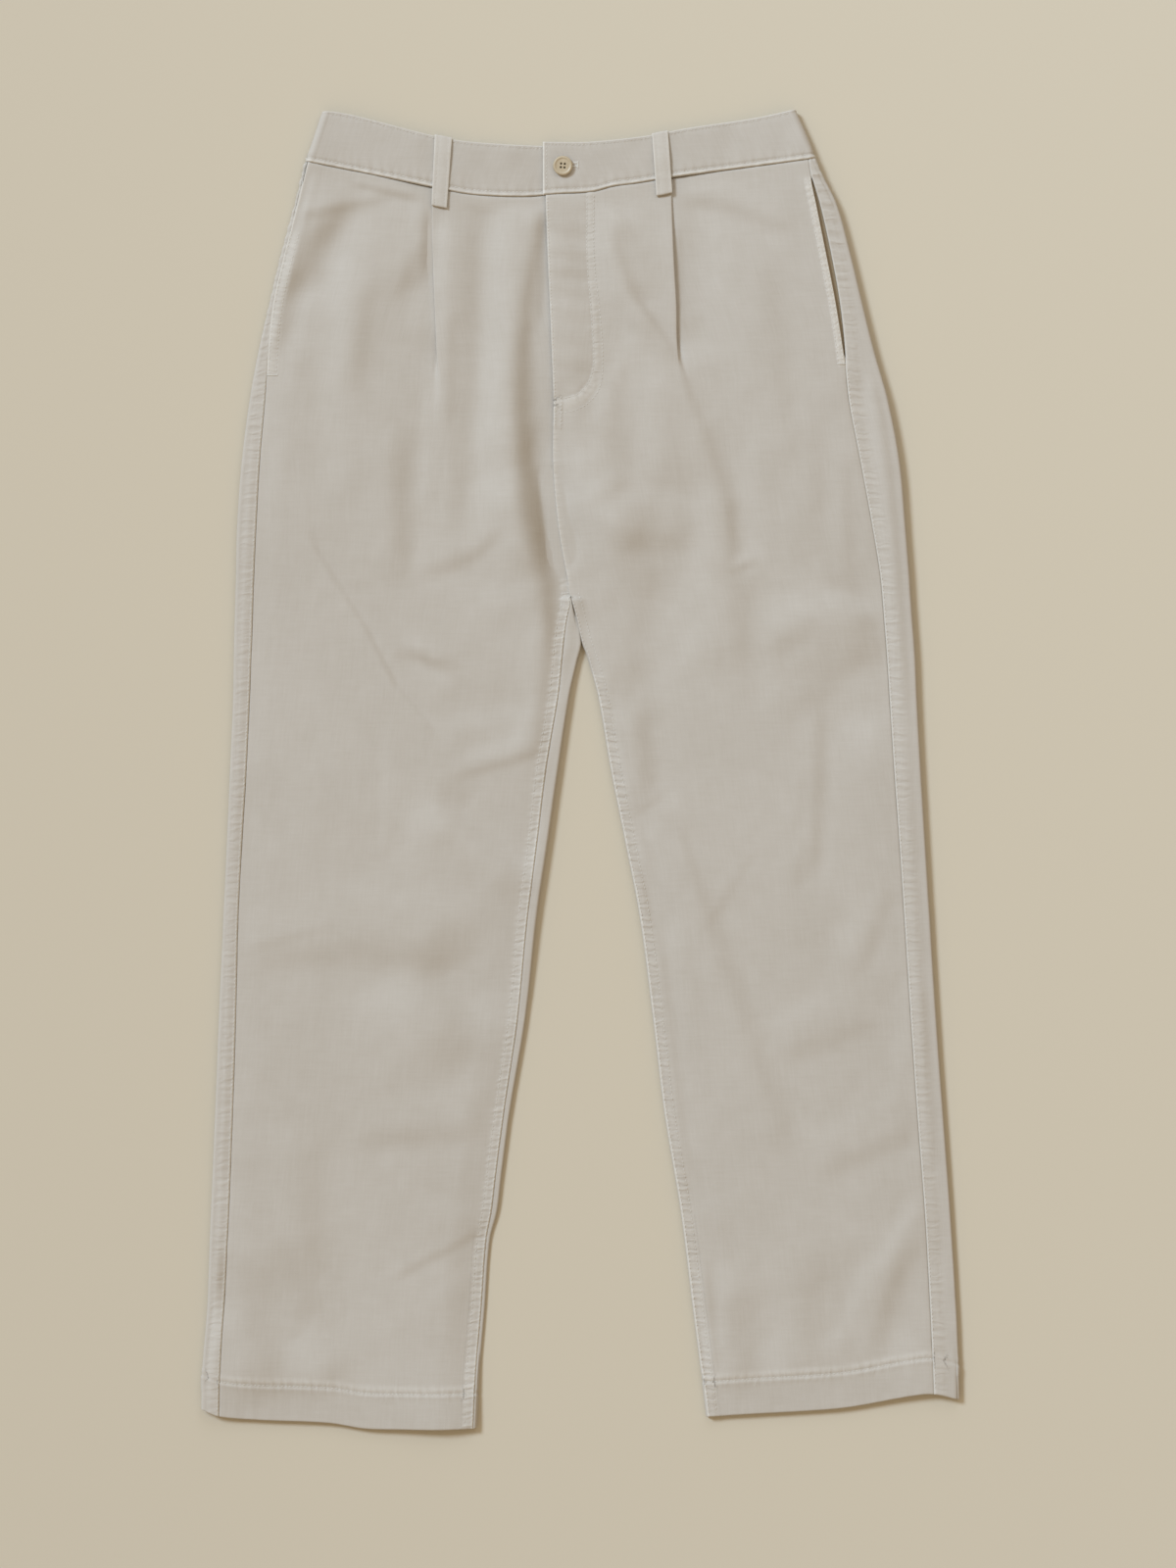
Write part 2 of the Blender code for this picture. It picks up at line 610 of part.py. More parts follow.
# ==== back panels =====================================================================
def roll_points(leg, share, fold_name, roll, inward):
    """Round one edge of a leg from the top down to the underside."""
    points = []
    for step in range(ROLL_STEPS + 1):
        angle = math.pi * step / ROLL_STEPS

        def x_at(y):
            wall_here = leg.wall_at(y, leg.line("pleat", y))
            radius = (roll(y) - wall_here / 2) / 2
            inset = wall_here / 2 + radius * (1 - math.sin(angle))
            return leg.line(fold_name, y) + inward * inset

        x, y = leg.settle(share, x_at)
        wall_here = leg.wall_at(y, leg.line("pleat", y))
        radius = (roll(y) - wall_here / 2) / 2
        normal = Vector((-inward * math.sin(angle), 0, math.cos(angle)))
        z = wall_here / 2 + radius * (1 + math.cos(angle))
        points.append((Vector((x, y, z)), normal * wall_here / 2))
    return points


def flat_points(leg, share, count):
    """Above the crotch the back runs flat to the centre back seam: the same count of points."""
    points = []
    for step in range(count):
        from_seam = (count - 1 - step) * FLAT_STEP + SEAM_GAP / 2
        x, y = leg.settle(share, lambda y: leg.line("inner_fold", y) + leg.outward * from_seam)
        points.append(on_floor(x, y, CLOTH))
    return points


def opening_points(leg, share, turn, count):
    """At the crotch, from flat to rolled over: an arc that turns part of the way."""
    radius = FLAT_STEP * (count - 1) / turn
    reach = (radius + CLOTH / 2) * math.sin(min(turn, math.pi / 2)) + SEAM_GAP / 2
    points = []
    for step in range(count):
        angle = turn * step / (count - 1)
        inset = reach - radius * math.sin(angle)
        x, y = leg.settle(share, lambda y: leg.line("inner_fold", y) + leg.outward * inset)
        z = CLOTH / 2 + radius * (1 - math.cos(angle))
        normal = Vector((-leg.outward * math.sin(angle), 0, -math.cos(angle)))
        points.append((Vector((x, y, z)), normal * CLOTH / 2))
    return points


def seam_to_roll(leg, share, seam_at, roll_x_at, steps):
    """On top, from a seam to the top of the roll, without its last point."""
    points = []
    for step in range(steps):
        x, y = leg.settle(share, lambda y: mix(seam_at(y), roll_x_at(y), step / steps))
        points.append(upright(x, y, top_height(leg, x, y), leg.wall_at(y, x)))
    return points


def back_rows(leg):
    rows = []
    inward = -leg.outward
    for share in row_shares():
        row = seam_to_roll(
            leg, share,
            lambda y: leg.outer_seam(y) + leg.outward * SEAM_GAP / 2,
            lambda y: leg.line("outer_fold", y) + inward * leg.roll_inset(outer_roll(y), y), 2)
        row += roll_points(leg, share, "outer_fold", outer_roll, inward)
        rolled = (share - ROLL_OPENING[0]) / (ROLL_OPENING[1] - ROLL_OPENING[0])
        if rolled < 0.01:
            inner = flat_points(leg, share, ROLL_STEPS + 2)
        elif rolled < 0.99:
            inner = opening_points(leg, share, math.pi * rolled, ROLL_STEPS + 2)
        else:
            inner = roll_points(leg, share, "inner_fold", inner_roll, leg.outward)[::-1]
            inner += seam_to_roll(
                leg, share,
                lambda y: leg.inner_seam(y) - leg.outward * SEAM_GAP / 2,
                lambda y: leg.line("inner_fold", y), 1)
        start, end = row[-1][0], inner[0][0]
        for column in range(1, BACK_COLUMNS):
            x = mix(start.x, end.x, column / BACK_COLUMNS)
            y = leg.row_y(share, x)
            row.append(on_floor(x, y, leg.wall_at(y, x)))
        rows.append(row + inner)
    return rows


def build_back(leg):
    material = principled(f"back {leg.name} cloth", CLOTH_COLOR, 0.9)
    wall(f"back_{leg.name}", back_rows(leg), material)


# ==== waistband =======================================================================
def band_point(leg, x, up, z, half):
    """A point of the waistband, up from the waist seam (0) to the top edge (1)."""
    y = mix(waist_seam(x) + WAIST_GAP / 2, waist_tops[leg.name](x), up)
    return Vector((x, y, z)), half


def build_waistband(leg):
    rows = []
    upwards = Vector((0, 0, BAND_CLOTH / 2))
    inward = -leg.outward
    for step in range(BAND_ROWS + 1):
        up = step / BAND_ROWS
        side = mix(*BAND_SIDES[leg.name], up)
        radius = (leg.band_height(side) - BAND_CLOTH / 2) / 2
        roll_x = side + inward * (radius + BAND_CLOTH / 2)
        row = []
        for column in range(BAND_FRONT_COLUMNS):
            x = mix(BAND_ENDS[leg.name], roll_x, column / BAND_FRONT_COLUMNS)
            row.append(band_point(leg, x, up, leg.band_height(x), upwards))
        for turn in range(ROLL_STEPS + 1):
            angle = math.pi * turn / ROLL_STEPS
            normal = Vector((leg.outward * math.sin(angle), 0, math.cos(angle)))
            x = roll_x + leg.outward * radius * math.sin(angle)
            z = BAND_CLOTH / 2 + radius * (1 + math.cos(angle))
            row.append(band_point(leg, x, up, z, normal * BAND_CLOTH / 2))
        flat_start = CENTRE_BACK_X + leg.outward * (SEAM_GAP / 2 + FLAT_STEP * (ROLL_STEPS + 1))
        back_xs = [mix(roll_x, flat_start, column / BACK_COLUMNS)
                   for column in range(1, BACK_COLUMNS + 1)]
        for x in back_xs + [CENTRE_BACK_X + leg.outward * SEAM_GAP / 2]:
            row.append(band_point(leg, x, up, BAND_CLOTH / 2, -upwards))
        rows.append(row)
    wall(f"waistband_{leg.name}", rows, principled(f"waistband {leg.name} cloth", CLOTH_COLOR, 0.9))


# ==== pocket facings ==================================================================
def build_pocket_facing(leg):
    """The strip behind a pocket's mouth, under the front's edge and the back's."""
    top, bottom, _ = POCKET_MOUTHS[leg.name]
    rows = []
    for step in range(FACING_ROWS + 1):
        y = mix(top + FACING_END, bottom - FACING_END, step / FACING_ROWS)
        under_front = leg.outer_seam(y) - leg.outward * FACING_UNDER_FRONT
        under_back = leg.outer_seam(y) + leg.outward * FACING_UNDER_BACK[leg.name]
        row = []
        for column in range(FACING_COLUMNS + 1):
            x = mix(under_front, under_back, column / FACING_COLUMNS)
            z = min(top_height(leg, x, y), front_height(leg, x, y)) - FACING_DROP
            row.append(upright(x, y, max(z, FACING_LOWEST), FACING_CLOTH))
        rows.append(row)
    material = principled(f"pocket facing {leg.name} cloth", SHADE_COLOR, 0.9)
    wall(f"pocket_facing_{leg.name}", rows, material)


# ==== belt loops ======================================================================
def loop_path(leg, foot_x, foot_y, top_x):
    """Up the loop in its own plane, from under its foot to over the waistband: y, z, normal."""
    seam_y = waist_seam(foot_x)
    top_y = waist_tops[leg.name](top_x)
    panel = front_height(leg, foot_x, foot_y) + CLOTH / 2
    band = leg.band_height(top_x) + BAND_CLOTH / 2
    low = panel + LOOP_CLEARANCE + LOOP_CLOTH / 2
    turn = LOOP_CLOTH / 2 + 0.35
    high = low + 2 * turn
    over_band = band + LOOP_CLEARANCE + LOOP_CLOTH / 2
    rest = max(high, over_band)
    mid_y = mix(seam_y, top_y, 0.45)
    hook = LOOP_CLOTH / 2 + LOOP_CLEARANCE
    path = [(foot_y + LOOP_TURN_UNDER, low, -90.0), (foot_y + turn + 1, low, -90.0)]
    path += [(foot_y + turn * (1 - math.sin(math.radians(angle))) + LOOP_CLOTH / 2,
              low + turn * (1 - math.cos(math.radians(angle))), -90.0 - angle)
             for angle in (0, 45, 90, 135, 180)][1:]
    path += [(seam_y - 3.0, rest, 90.0), (seam_y + 4.0, rest + LOOP_BULGE * 0.6, 90.0),
             (mid_y, rest + LOOP_BULGE, 90.0), (mix(mid_y, top_y, 0.6), over_band + 0.5, 90.0),
             (top_y - 1.0, over_band, 90.0), (top_y + 0.6 * hook, over_band - 0.3 * hook, 45.0),
             (top_y + hook, over_band - hook, 0.0), (top_y + hook, band - BAND_CLOTH, 0.0)]
    return path


def build_belt_loop(leg):
    top_x, foot_x, foot_y, top_width, foot_width = LOOPS[leg.name]
    path = loop_path(leg, foot_x, foot_y, top_x)
    top_y = waist_tops[leg.name](top_x)
    rows = []
    for y, z, facing in path:
        up = clamp((y - foot_y) / (top_y - foot_y))
        middle = mix(foot_x, top_x, up)
        width = mix(foot_width, top_width, up)
        angle = math.radians(facing)
        half = Vector((0, math.cos(angle), math.sin(angle))) * LOOP_CLOTH / 2
        row = []
        for share in (-0.5, 0.0, 0.5):
            x = middle + width * share
            slant = waist_tops[leg.name](x) - waist_tops[leg.name](middle)
            row.append((Vector((x, y + slant, z)), half))
        rows.append(row)
    wall(f"belt_loop_{leg.name}", rows, principled(f"belt loop {leg.name} cloth", CLOTH_COLOR, 0.9))


# ==== button ==========================================================================
def build_button():
    """A turned disc with a raised rim and four holes."""
    base = LEFT.band_height(BUTTON_CENTRE[0]) + BAND_CLOTH / 2 + SEAM_GAP
    profile = ((BUTTON_RADIUS - 1.8, 0.0), (BUTTON_RADIUS - 0.5, 0.7),
               (BUTTON_RADIUS, 1.6), (BUTTON_RADIUS - 0.4, 2.5),
               (BUTTON_RADIUS - 1.1, BUTTON_THICKNESS),
               (BUTTON_RADIUS - BUTTON_RIM_WIDTH, BUTTON_THICKNESS - 0.3),
               (BUTTON_RADIUS - BUTTON_RIM_WIDTH - 0.9, BUTTON_THICKNESS - BUTTON_DISH))
    angles = [2 * math.pi * step / BUTTON_SEGMENTS for step in range(BUTTON_SEGMENTS)]
    mesh = bmesh.new()
    rings = []
    for radius, z in profile:
        rings.append([mesh.verts.new(Vector((radius * math.cos(angle), radius * math.sin(angle), z)) * MM)
                      for angle in angles])
    for lower, upper in zip(rings, rings[1:]):
        for here in range(BUTTON_SEGMENTS):
            after = (here + 1) % BUTTON_SEGMENTS
            mesh.faces.new((lower[here], lower[after], upper[after], upper[here]))
    mesh.faces.new(rings[0])
    mesh.faces.new(rings[-1])
    bmesh.ops.recalc_face_normals(mesh, faces=mesh.faces)
    button = finished("button", mesh, principled("button", BUTTON_COLOR, 0.45))
    button.location = (BUTTON_CENTRE[0] * MM, BUTTON_CENTRE[1] * MM, base * MM)
    button.rotation_euler.z = BUTTON_TURN
    add_button_holes(button)
    button.data.shade_smooth()
    return button


def add_button_holes(button):
    """Four holes in a square, cut right through."""
    cutter_mesh = bmesh.new()
    for corner in range(4):
        angle = math.pi / 4 + corner * math.pi / 2
        reach = BUTTON_HOLE_SPACING / math.sqrt(2)
        made = bmesh.ops.create_cone(
            cutter_mesh, cap_ends=True, segments=12, radius1=BUTTON_HOLE_RADIUS * MM,
            radius2=BUTTON_HOLE_RADIUS * MM, depth=4 * BUTTON_THICKNESS * MM)
        shift = Vector((reach * math.cos(angle) * MM, reach * math.sin(angle) * MM, 0))
        bmesh.ops.translate(cutter_mesh, verts=made["verts"], vec=shift)
    cutter = finished("button_hole_cutter", cutter_mesh, button.data.materials[0])
    cutter.parent = button
    cutter.hide_render = True
    cutter.display_type = "WIRE"
    holes = button.modifiers.new("holes", "BOOLEAN")
    holes.object = cutter
    holes.operation = "DIFFERENCE"
    holes.solver = "EXACT"


def main():
    for old in list(bpy.data.objects):
        bpy.data.objects.remove(old, do_unlink=True)
    for leg in (RIGHT, LEFT):
        build_back(leg)
        build_front(leg)
        build_waistband(leg)
        build_pocket_facing(leg)
        build_belt_loop(leg)
    build_button()


main()
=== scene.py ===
"""The looks of pleated chino trousers laid flat: cloth, folds, seams, stitching and button.

Sizes are in millimetres until a mesh is made. +X is the wearer's left, +Y the waist and
+Z up from the floor. Right and left are the wearer's.
"""
import math

import bmesh
import bpy
import numpy as np
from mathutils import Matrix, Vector
from mathutils.bvhtree import BVHTree


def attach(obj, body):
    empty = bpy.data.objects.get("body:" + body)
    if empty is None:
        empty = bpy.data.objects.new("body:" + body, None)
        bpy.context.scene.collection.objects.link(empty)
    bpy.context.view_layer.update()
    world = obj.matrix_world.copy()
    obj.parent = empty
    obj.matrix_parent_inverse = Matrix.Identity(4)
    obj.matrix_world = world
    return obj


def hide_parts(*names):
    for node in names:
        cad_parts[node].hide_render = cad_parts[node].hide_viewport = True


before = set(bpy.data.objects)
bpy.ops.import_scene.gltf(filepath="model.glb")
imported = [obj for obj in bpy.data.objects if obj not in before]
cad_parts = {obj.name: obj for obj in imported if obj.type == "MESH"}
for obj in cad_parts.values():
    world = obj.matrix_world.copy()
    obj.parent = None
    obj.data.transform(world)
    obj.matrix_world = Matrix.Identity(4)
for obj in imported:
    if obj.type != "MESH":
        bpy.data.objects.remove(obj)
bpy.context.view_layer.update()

MM = 0.001

# ---- cloth -------------------------------------------------------------------------
CLOTH = 1.2             # a panel's wall
HEM_CLOTH = 2.4         # the turned-up hem, two layers
HEM_DEPTH = 29.0
HEM_BLEND = 5.0         # the stitched edge over which the wall thickens
BAND_CLOTH = 2.4        # the waistband's wall
SEAM_GAP = 0.3          # between two sewn edges
WAIST_GAP = 0.4         # along the waist seam, whose curve the pieces follow in facets
PANEL_CLEARANCE = 0.4   # between the front panel and the back panel where they lie close

# ---- outline of each leg -----------------------------------------------------------
# outer_fold and inner_fold are the leg's edges, seen from above. Above the crotch the
# inner fold is the centre back seam. outseam and inseam are the front panel's edges, and
# above the crotch the inseam is the centre front. pleat is the pleat's folded edge, and
# below it the line down the middle of the front.
LEG_COLUMNS = ("y", "outer_fold", "outseam", "pleat", "inseam", "inner_fold")
RIGHT_LEG = (
    (500.0, -224.0, -220.4, -121.6, -29.5, -17.0),
    (460.0, -233.6, -229.8, -121.6, -28.8, -16.6),
    (420.0, -244.4, -240.4, -121.0, -27.4, -15.6),
    (380.0, -254.0, -249.6, -119.6, -25.6, -14.4),
    (340.0, -263.2, -254.4, -117.8, -24.0, -13.2),
    (300.0, -270.4, -257.4, -117.0, -22.6, -12.0),
    (250.0, -276.8, -261.8, -121.0, -22.8, -10.6),
    (200.0, -280.4, -264.6, -127.0, -18.8, -9.0),
    (160.0, -281.4, -266.5, -134.0, -12.0, -7.8),
    (140.0, -281.9, -267.2, -138.0, -7.2, -7.2),
    (124.0, -282.4, -267.7, -140.0, -10.8, -4.0),
    (104.0, -282.9, -268.3, -143.0, -13.8, 0.1),
    (88.0, -283.2, -269.0, -145.0, -15.4, -3.4),
    (60.0, -283.7, -270.0, -149.0, -18.2, -9.6),
    (0.0, -286.2, -272.8, -155.0, -28.4, -18.8),
    (-60.0, -288.8, -276.4, -160.0, -35.4, -27.4),
    (-120.0, -291.6, -279.4, -166.0, -43.2, -36.2),
    (-200.0, -295.2, -281.3, -172.0, -51.0, -45.0),
    (-280.0, -298.4, -283.8, -178.0, -62.6, -58.2),
    (-330.0, -300.5, -285.7, -181.8, -69.2, -64.8),
    (-360.0, -301.8, -286.8, -184.0, -72.8, -68.4),
    (-384.0, -302.8, -288.1, -185.8, -77.2, -74.4),
    (-440.0, -304.9, -291.0, -190.0, -81.2, -78.6),
    (-490.0, -309.0, -293.8, -193.0, -85.4, -82.8),
    (-540.0, -309.9, -295.4, -195.0, -87.8, -85.4),
)
LEFT_LEG = (
    (500.0, 189.6, 184.6, 73.6, -29.5, -17.0),
    (480.0, 198.8, 187.6, 73.8, -29.2, -16.8),
    (460.0, 208.4, 192.3, 74.0, -28.8, -16.6),
    (420.0, 219.4, 200.6, 75.4, -27.4, -15.6),
    (380.0, 229.0, 208.2, 77.6, -25.6, -14.4),
    (340.0, 238.9, 213.9, 79.4, -24.0, -13.2),
    (300.0, 250.2, 218.0, 90.0, -22.6, -12.0),
    (250.0, 259.6, 227.6, 104.0, -22.8, -10.6),
    (200.0, 264.2, 236.8, 114.0, -18.8, -9.0),
    (160.0, 267.4, 243.4, 122.0, -12.0, -7.8),
    (140.0, 268.7, 245.4, 126.0, -7.2, -7.2),
    (124.0, 269.8, 246.6, 130.0, -0.4, -3.2),
    (104.0, 271.4, 248.2, 134.0, 4.9, 1.3),
    (88.0, 272.4, 249.4, 138.0, 10.4, 5.8),
    (60.0, 273.6, 251.2, 145.0, 18.8, 13.4),
    (0.0, 276.8, 254.9, 152.0, 29.4, 23.8),
    (-60.0, 280.5, 259.2, 160.0, 41.4, 35.8),
    (-120.0, 284.2, 263.2, 167.0, 53.0, 47.4),
    (-200.0, 289.2, 268.3, 175.0, 63.6, 57.9),
    (-280.0, 295.0, 273.8, 184.0, 73.4, 67.6),
    (-360.0, 300.9, 279.9, 192.0, 86.6, 80.8),
    (-440.0, 305.9, 284.5, 198.0, 96.8, 90.8),
    (-490.0, 308.0, 286.6, 203.0, 103.0, 97.2),
    (-540.0, 308.8, 288.4, 206.0, 109.0, 103.2),
)
CROTCH_Y = 140.0

# Where the panels meet the waistband, and the waistband's top edge: x, y.
WAIST_SEAM = (
    (-226.0, 495.2), (-176.0, 485.6), (-122.0, 474.4), (-90.0, 468.5), (-50.0, 466.7),
    (-20.0, 468.8), (9.0, 470.6), (26.0, 474.9), (46.0, 477.6), (74.0, 482.1),
    (138.0, 490.6), (192.0, 497.6),
)
WAIST_TOP_RIGHT = ((-211.0, 536.0), (-200.0, 535.4), (-182.0, 532.0), (-120.0, 516.2),
                   (-90.0, 511.4), (-31.0, 508.2), (4.0, 509.0))
WAIST_TOP_LEFT = ((-31.0, 511.2), (6.0, 511.2), (54.0, 516.2), (86.0, 522.2),
                  (142.0, 530.6), (175.0, 537.6))

# The hems' lower edges: x, y.
HEM_EDGE_RIGHT = ((-309.0, -522.0), (-296.0, -527.4), (-264.0, -530.4), (-206.0, -533.0),
                  (-176.0, -537.6), (-148.0, -538.2), (-116.0, -538.4), (-87.0, -537.6))
HEM_EDGE_LEFT = ((103.0, -528.2), (126.0, -526.4), (198.0, -522.2), (223.0, -519.4),
                 (270.0, -510.8), (287.0, -509.4), (308.0, -514.0))

# ---- heights of the middle of the wall ---------------------------------------------
FRONT_FLOOR = CLOTH + PANEL_CLEARANCE + CLOTH / 2
HEM_FLOOR = HEM_CLOTH + PANEL_CLEARANCE + HEM_CLOTH / 2
HEM_LIFT_REACH = 45.0   # above the hem's stitching the front settles back onto the back
PUFF = ((500.0, 4.2), (420.0, 5.0), (300.0, 5.0), (220.0, 4.2), (150.0, 2.6), (90.0, 2.4),
        (0.0, 2.6), (-200.0, 2.2), (-400.0, 1.6), (-540.0, 0.6))
OUTER_ROLL = {
    "right": ((500.0, 5.2), (400.0, 5.4), (300.0, 6.6), (100.0, 6.6), (-300.0, 6.4),
              (-540.0, 6.0)),
    "left": ((500.0, 8.6), (400.0, 8.2), (300.0, 8.8), (200.0, 7.7), (100.0, 7.3),
             (-300.0, 5.6), (-540.0, 4.9)),
}
INNER_ROLL = {
    "right": ((150.0, 3.2), (104.0, 3.8), (80.0, 4.8), (50.0, 5.8), (-90.0, 6.2), (-140.0, 5.6),
              (-190.0, 4.2), (-300.0, 3.6),
              (-350.0, 3.2), (-380.0, 2.3), (-540.0, 2.3)),
    "left": ((150.0, 3.2), (104.0, 3.8), (80.0, 4.8), (50.0, 5.2), (-300.0, 4.6), (-540.0, 4.4)),
}
# Where a hem stands up off the floor: x, reach along it, by how much.
HEM_LIFTS = {"right": (-106.0, 46.0, 3.8), "left": (284.0, 30.0, 1.6)}
HEM_LIFT_HEIGHT = 55.0  # the lift has died away this far above the hem's edge
ROLL_REACH = 34.0       # how far in from an edge its roll has died away
INNER_ROLL_START = 30.0  # the inner roll grows over this length below the crotch
SMALLEST_SEAM_INSET = 0.7  # a seam is at least this far in from the top of the roll

# The waistband's front layer: x, height of the middle of its wall.
BAND_HEIGHT_RIGHT = ((-216.0, 9.0), (-190.0, 7.4), (-122.0, 7.0), (-60.0, 5.4),
                     (-30.0, 4.1), (4.0, 4.1))
BAND_HEIGHT_LEFT = ((-32.0, 6.9), (18.0, 6.9), (45.0, 6.9), (74.0, 7.0), (140.0, 7.2),
                    (184.0, 9.0))
BAND_PROUD = 0.5        # the waistband's face over the panels' face
BAND_BLEND = 60.0       # below the waist the panels leave the waistband's height

# The waistband's halves: x of the side at the seam and at the top, and x of the front end.
BAND_SIDES = {"right": (-224.8, -211.0), "left": (191.4, 175.0)}
BAND_ENDS = {"right": 2.0, "left": -31.2}
CENTRE_BACK_X = -17.0   # the seam between the halves behind

# ---- pleats ------------------------------------------------------------------------
# Below the waist: the cloth folded under at the pleat, the angle that each of its two
# turns goes through, and the length of a turn. 180 degrees is a shut pleat.
PLEAT_COLUMNS = ("below_waist", "depth", "turn", "arc")
PLEAT = (
    (0.0, 16.0, 180.0, 1.35),
    (80.0, 11.0, 180.0, 1.35),
    (115.0, 4.0, 180.0, 1.35),
    (130.0, 1.5, 150.0, 1.5),
    (142.0, 0.8, 85.0, 1.8),
    (154.0, 0.8, 34.0, 2.6),
    (170.0, 1.4, 12.0, 3.8),
    (195.0, 2.4, 5.0, 5.0),
    (235.0, 3.4, 2.0, 5.5),
    (290.0, 4.0, 0.0, 5.5),
    (1300.0, 4.0, 0.0, 5.5),
)
PLEAT_LEAST_DEPTH = 0.5
PLEAT_HALF = 0.3        # half the wall where the pleat folds the cloth under itself
PLEAT_GAPE = {"right": 1.1, "left": 2.2}  # halfway down, its edge stands up by this much
PLEAT_GAPE_FROM, PLEAT_GAPE_LENGTH = 22, 118  # below the waist
PLEAT_FOOT = 3.0        # the cloth beside the pleat lies level this far out
PLEAT_FOOT_GAP = 1.5    # and at least this far out from the pleat's last turn
PLEAT_REACH = 48.0      # and has risen again this far out

# ---- fly and centre front ----------------------------------------------------------
# Down from the waist, how far the right front lies under the left, and the height
# between the middles of their walls.
LAP_COLUMNS = ("y", "width", "step")
LAP = ((500.0, 12.0, 2.8), (300.0, 12.0, 2.8), (250.0, 8.0, 2.0), (190.0, 7.0, 1.9),
       (160.0, 3.0, 1.9), (146.0, -0.15, 1.9), (140.0, -0.15, 1.8), (100.0, -0.15, 0.0))
LAP_REACH = 24.0        # the step is shared out over this width on each side

# ---- pockets -----------------------------------------------------------------------
# The open mouths along the outseam: y at the top and at the bottom, how far it gapes.
POCKET_MOUTHS = {"right": (500.0, 321.0, -1.2), "left": (482.0, 330.0, 4.0)}
MOUTH_SEWN = {"right": (438.0, 321.0), "left": (482.0, 330.0)}
MOUTH_ROWS = {"right": (1.6, 7.6), "left": (1.4, 5.2)}
MOUTH_PROUD = {"right": 0.35, "left": 1.15}
SEAM_RIDGE = {"right": 0.25, "left": 0.0}  # the back's edge stands over the front's
MOUTH_LIFT = {"right": 1.2, "left": 0.9}  # the mouth's edge stands up by this much
MOUTH_BACK_SHARE = 0.7  # of the gape that is the back's
MOUTH_LIFT_REACH = 16.0
FACING_CLOTH = 1.0
FACING_UNDER_FRONT = 26.0
FACING_UNDER_BACK = {"right": 1.0, "left": 5.0}
FACING_DROP = 2.2       # the middle of its wall below the panels'
FACING_LOWEST = CLOTH + PANEL_CLEARANCE + FACING_CLOTH / 2
FACING_END = 8.0        # it runs past the mouth's ends
FACING_ROWS, FACING_COLUMNS = 60, 16

# ---- belt loops: x of the top, x and y of the foot, width of the top and of the foot ---
LOOPS = {"right": (-112.2, -115.6, 457.6, 14.0, 12.4), "left": (64.2, 67.8, 467.6, 13.0, 13.0)}
LOOP_CLOTH = 1.0
LOOP_CLEARANCE = 0.3
LOOP_BULGE = 0.3
LOOP_TURN_UNDER = 9.0
LOOP_STITCH = 3.9       # its two rows of stitches from its middle
LOOP_AROUND = 40        # points around it

# ---- button ------------------------------------------------------------------------
BUTTON_CENTRE = (-14.9, 491.3)
BUTTON_RADIUS = 8.0
BUTTON_THICKNESS = 3.0
BUTTON_TURN = math.radians(-5)
BUTTON_RIM_WIDTH = 2.0
BUTTON_DISH = 0.6
BUTTON_HOLE_RADIUS = 0.95
BUTTON_HOLE_SPACING = 3.0
BUTTON_THREAD_RADIUS = 0.5
BUTTON_BEVEL = 0.12
BUTTON_AROUND = 72      # points around a ring
BUTTON_HOLE_AROUND = 20


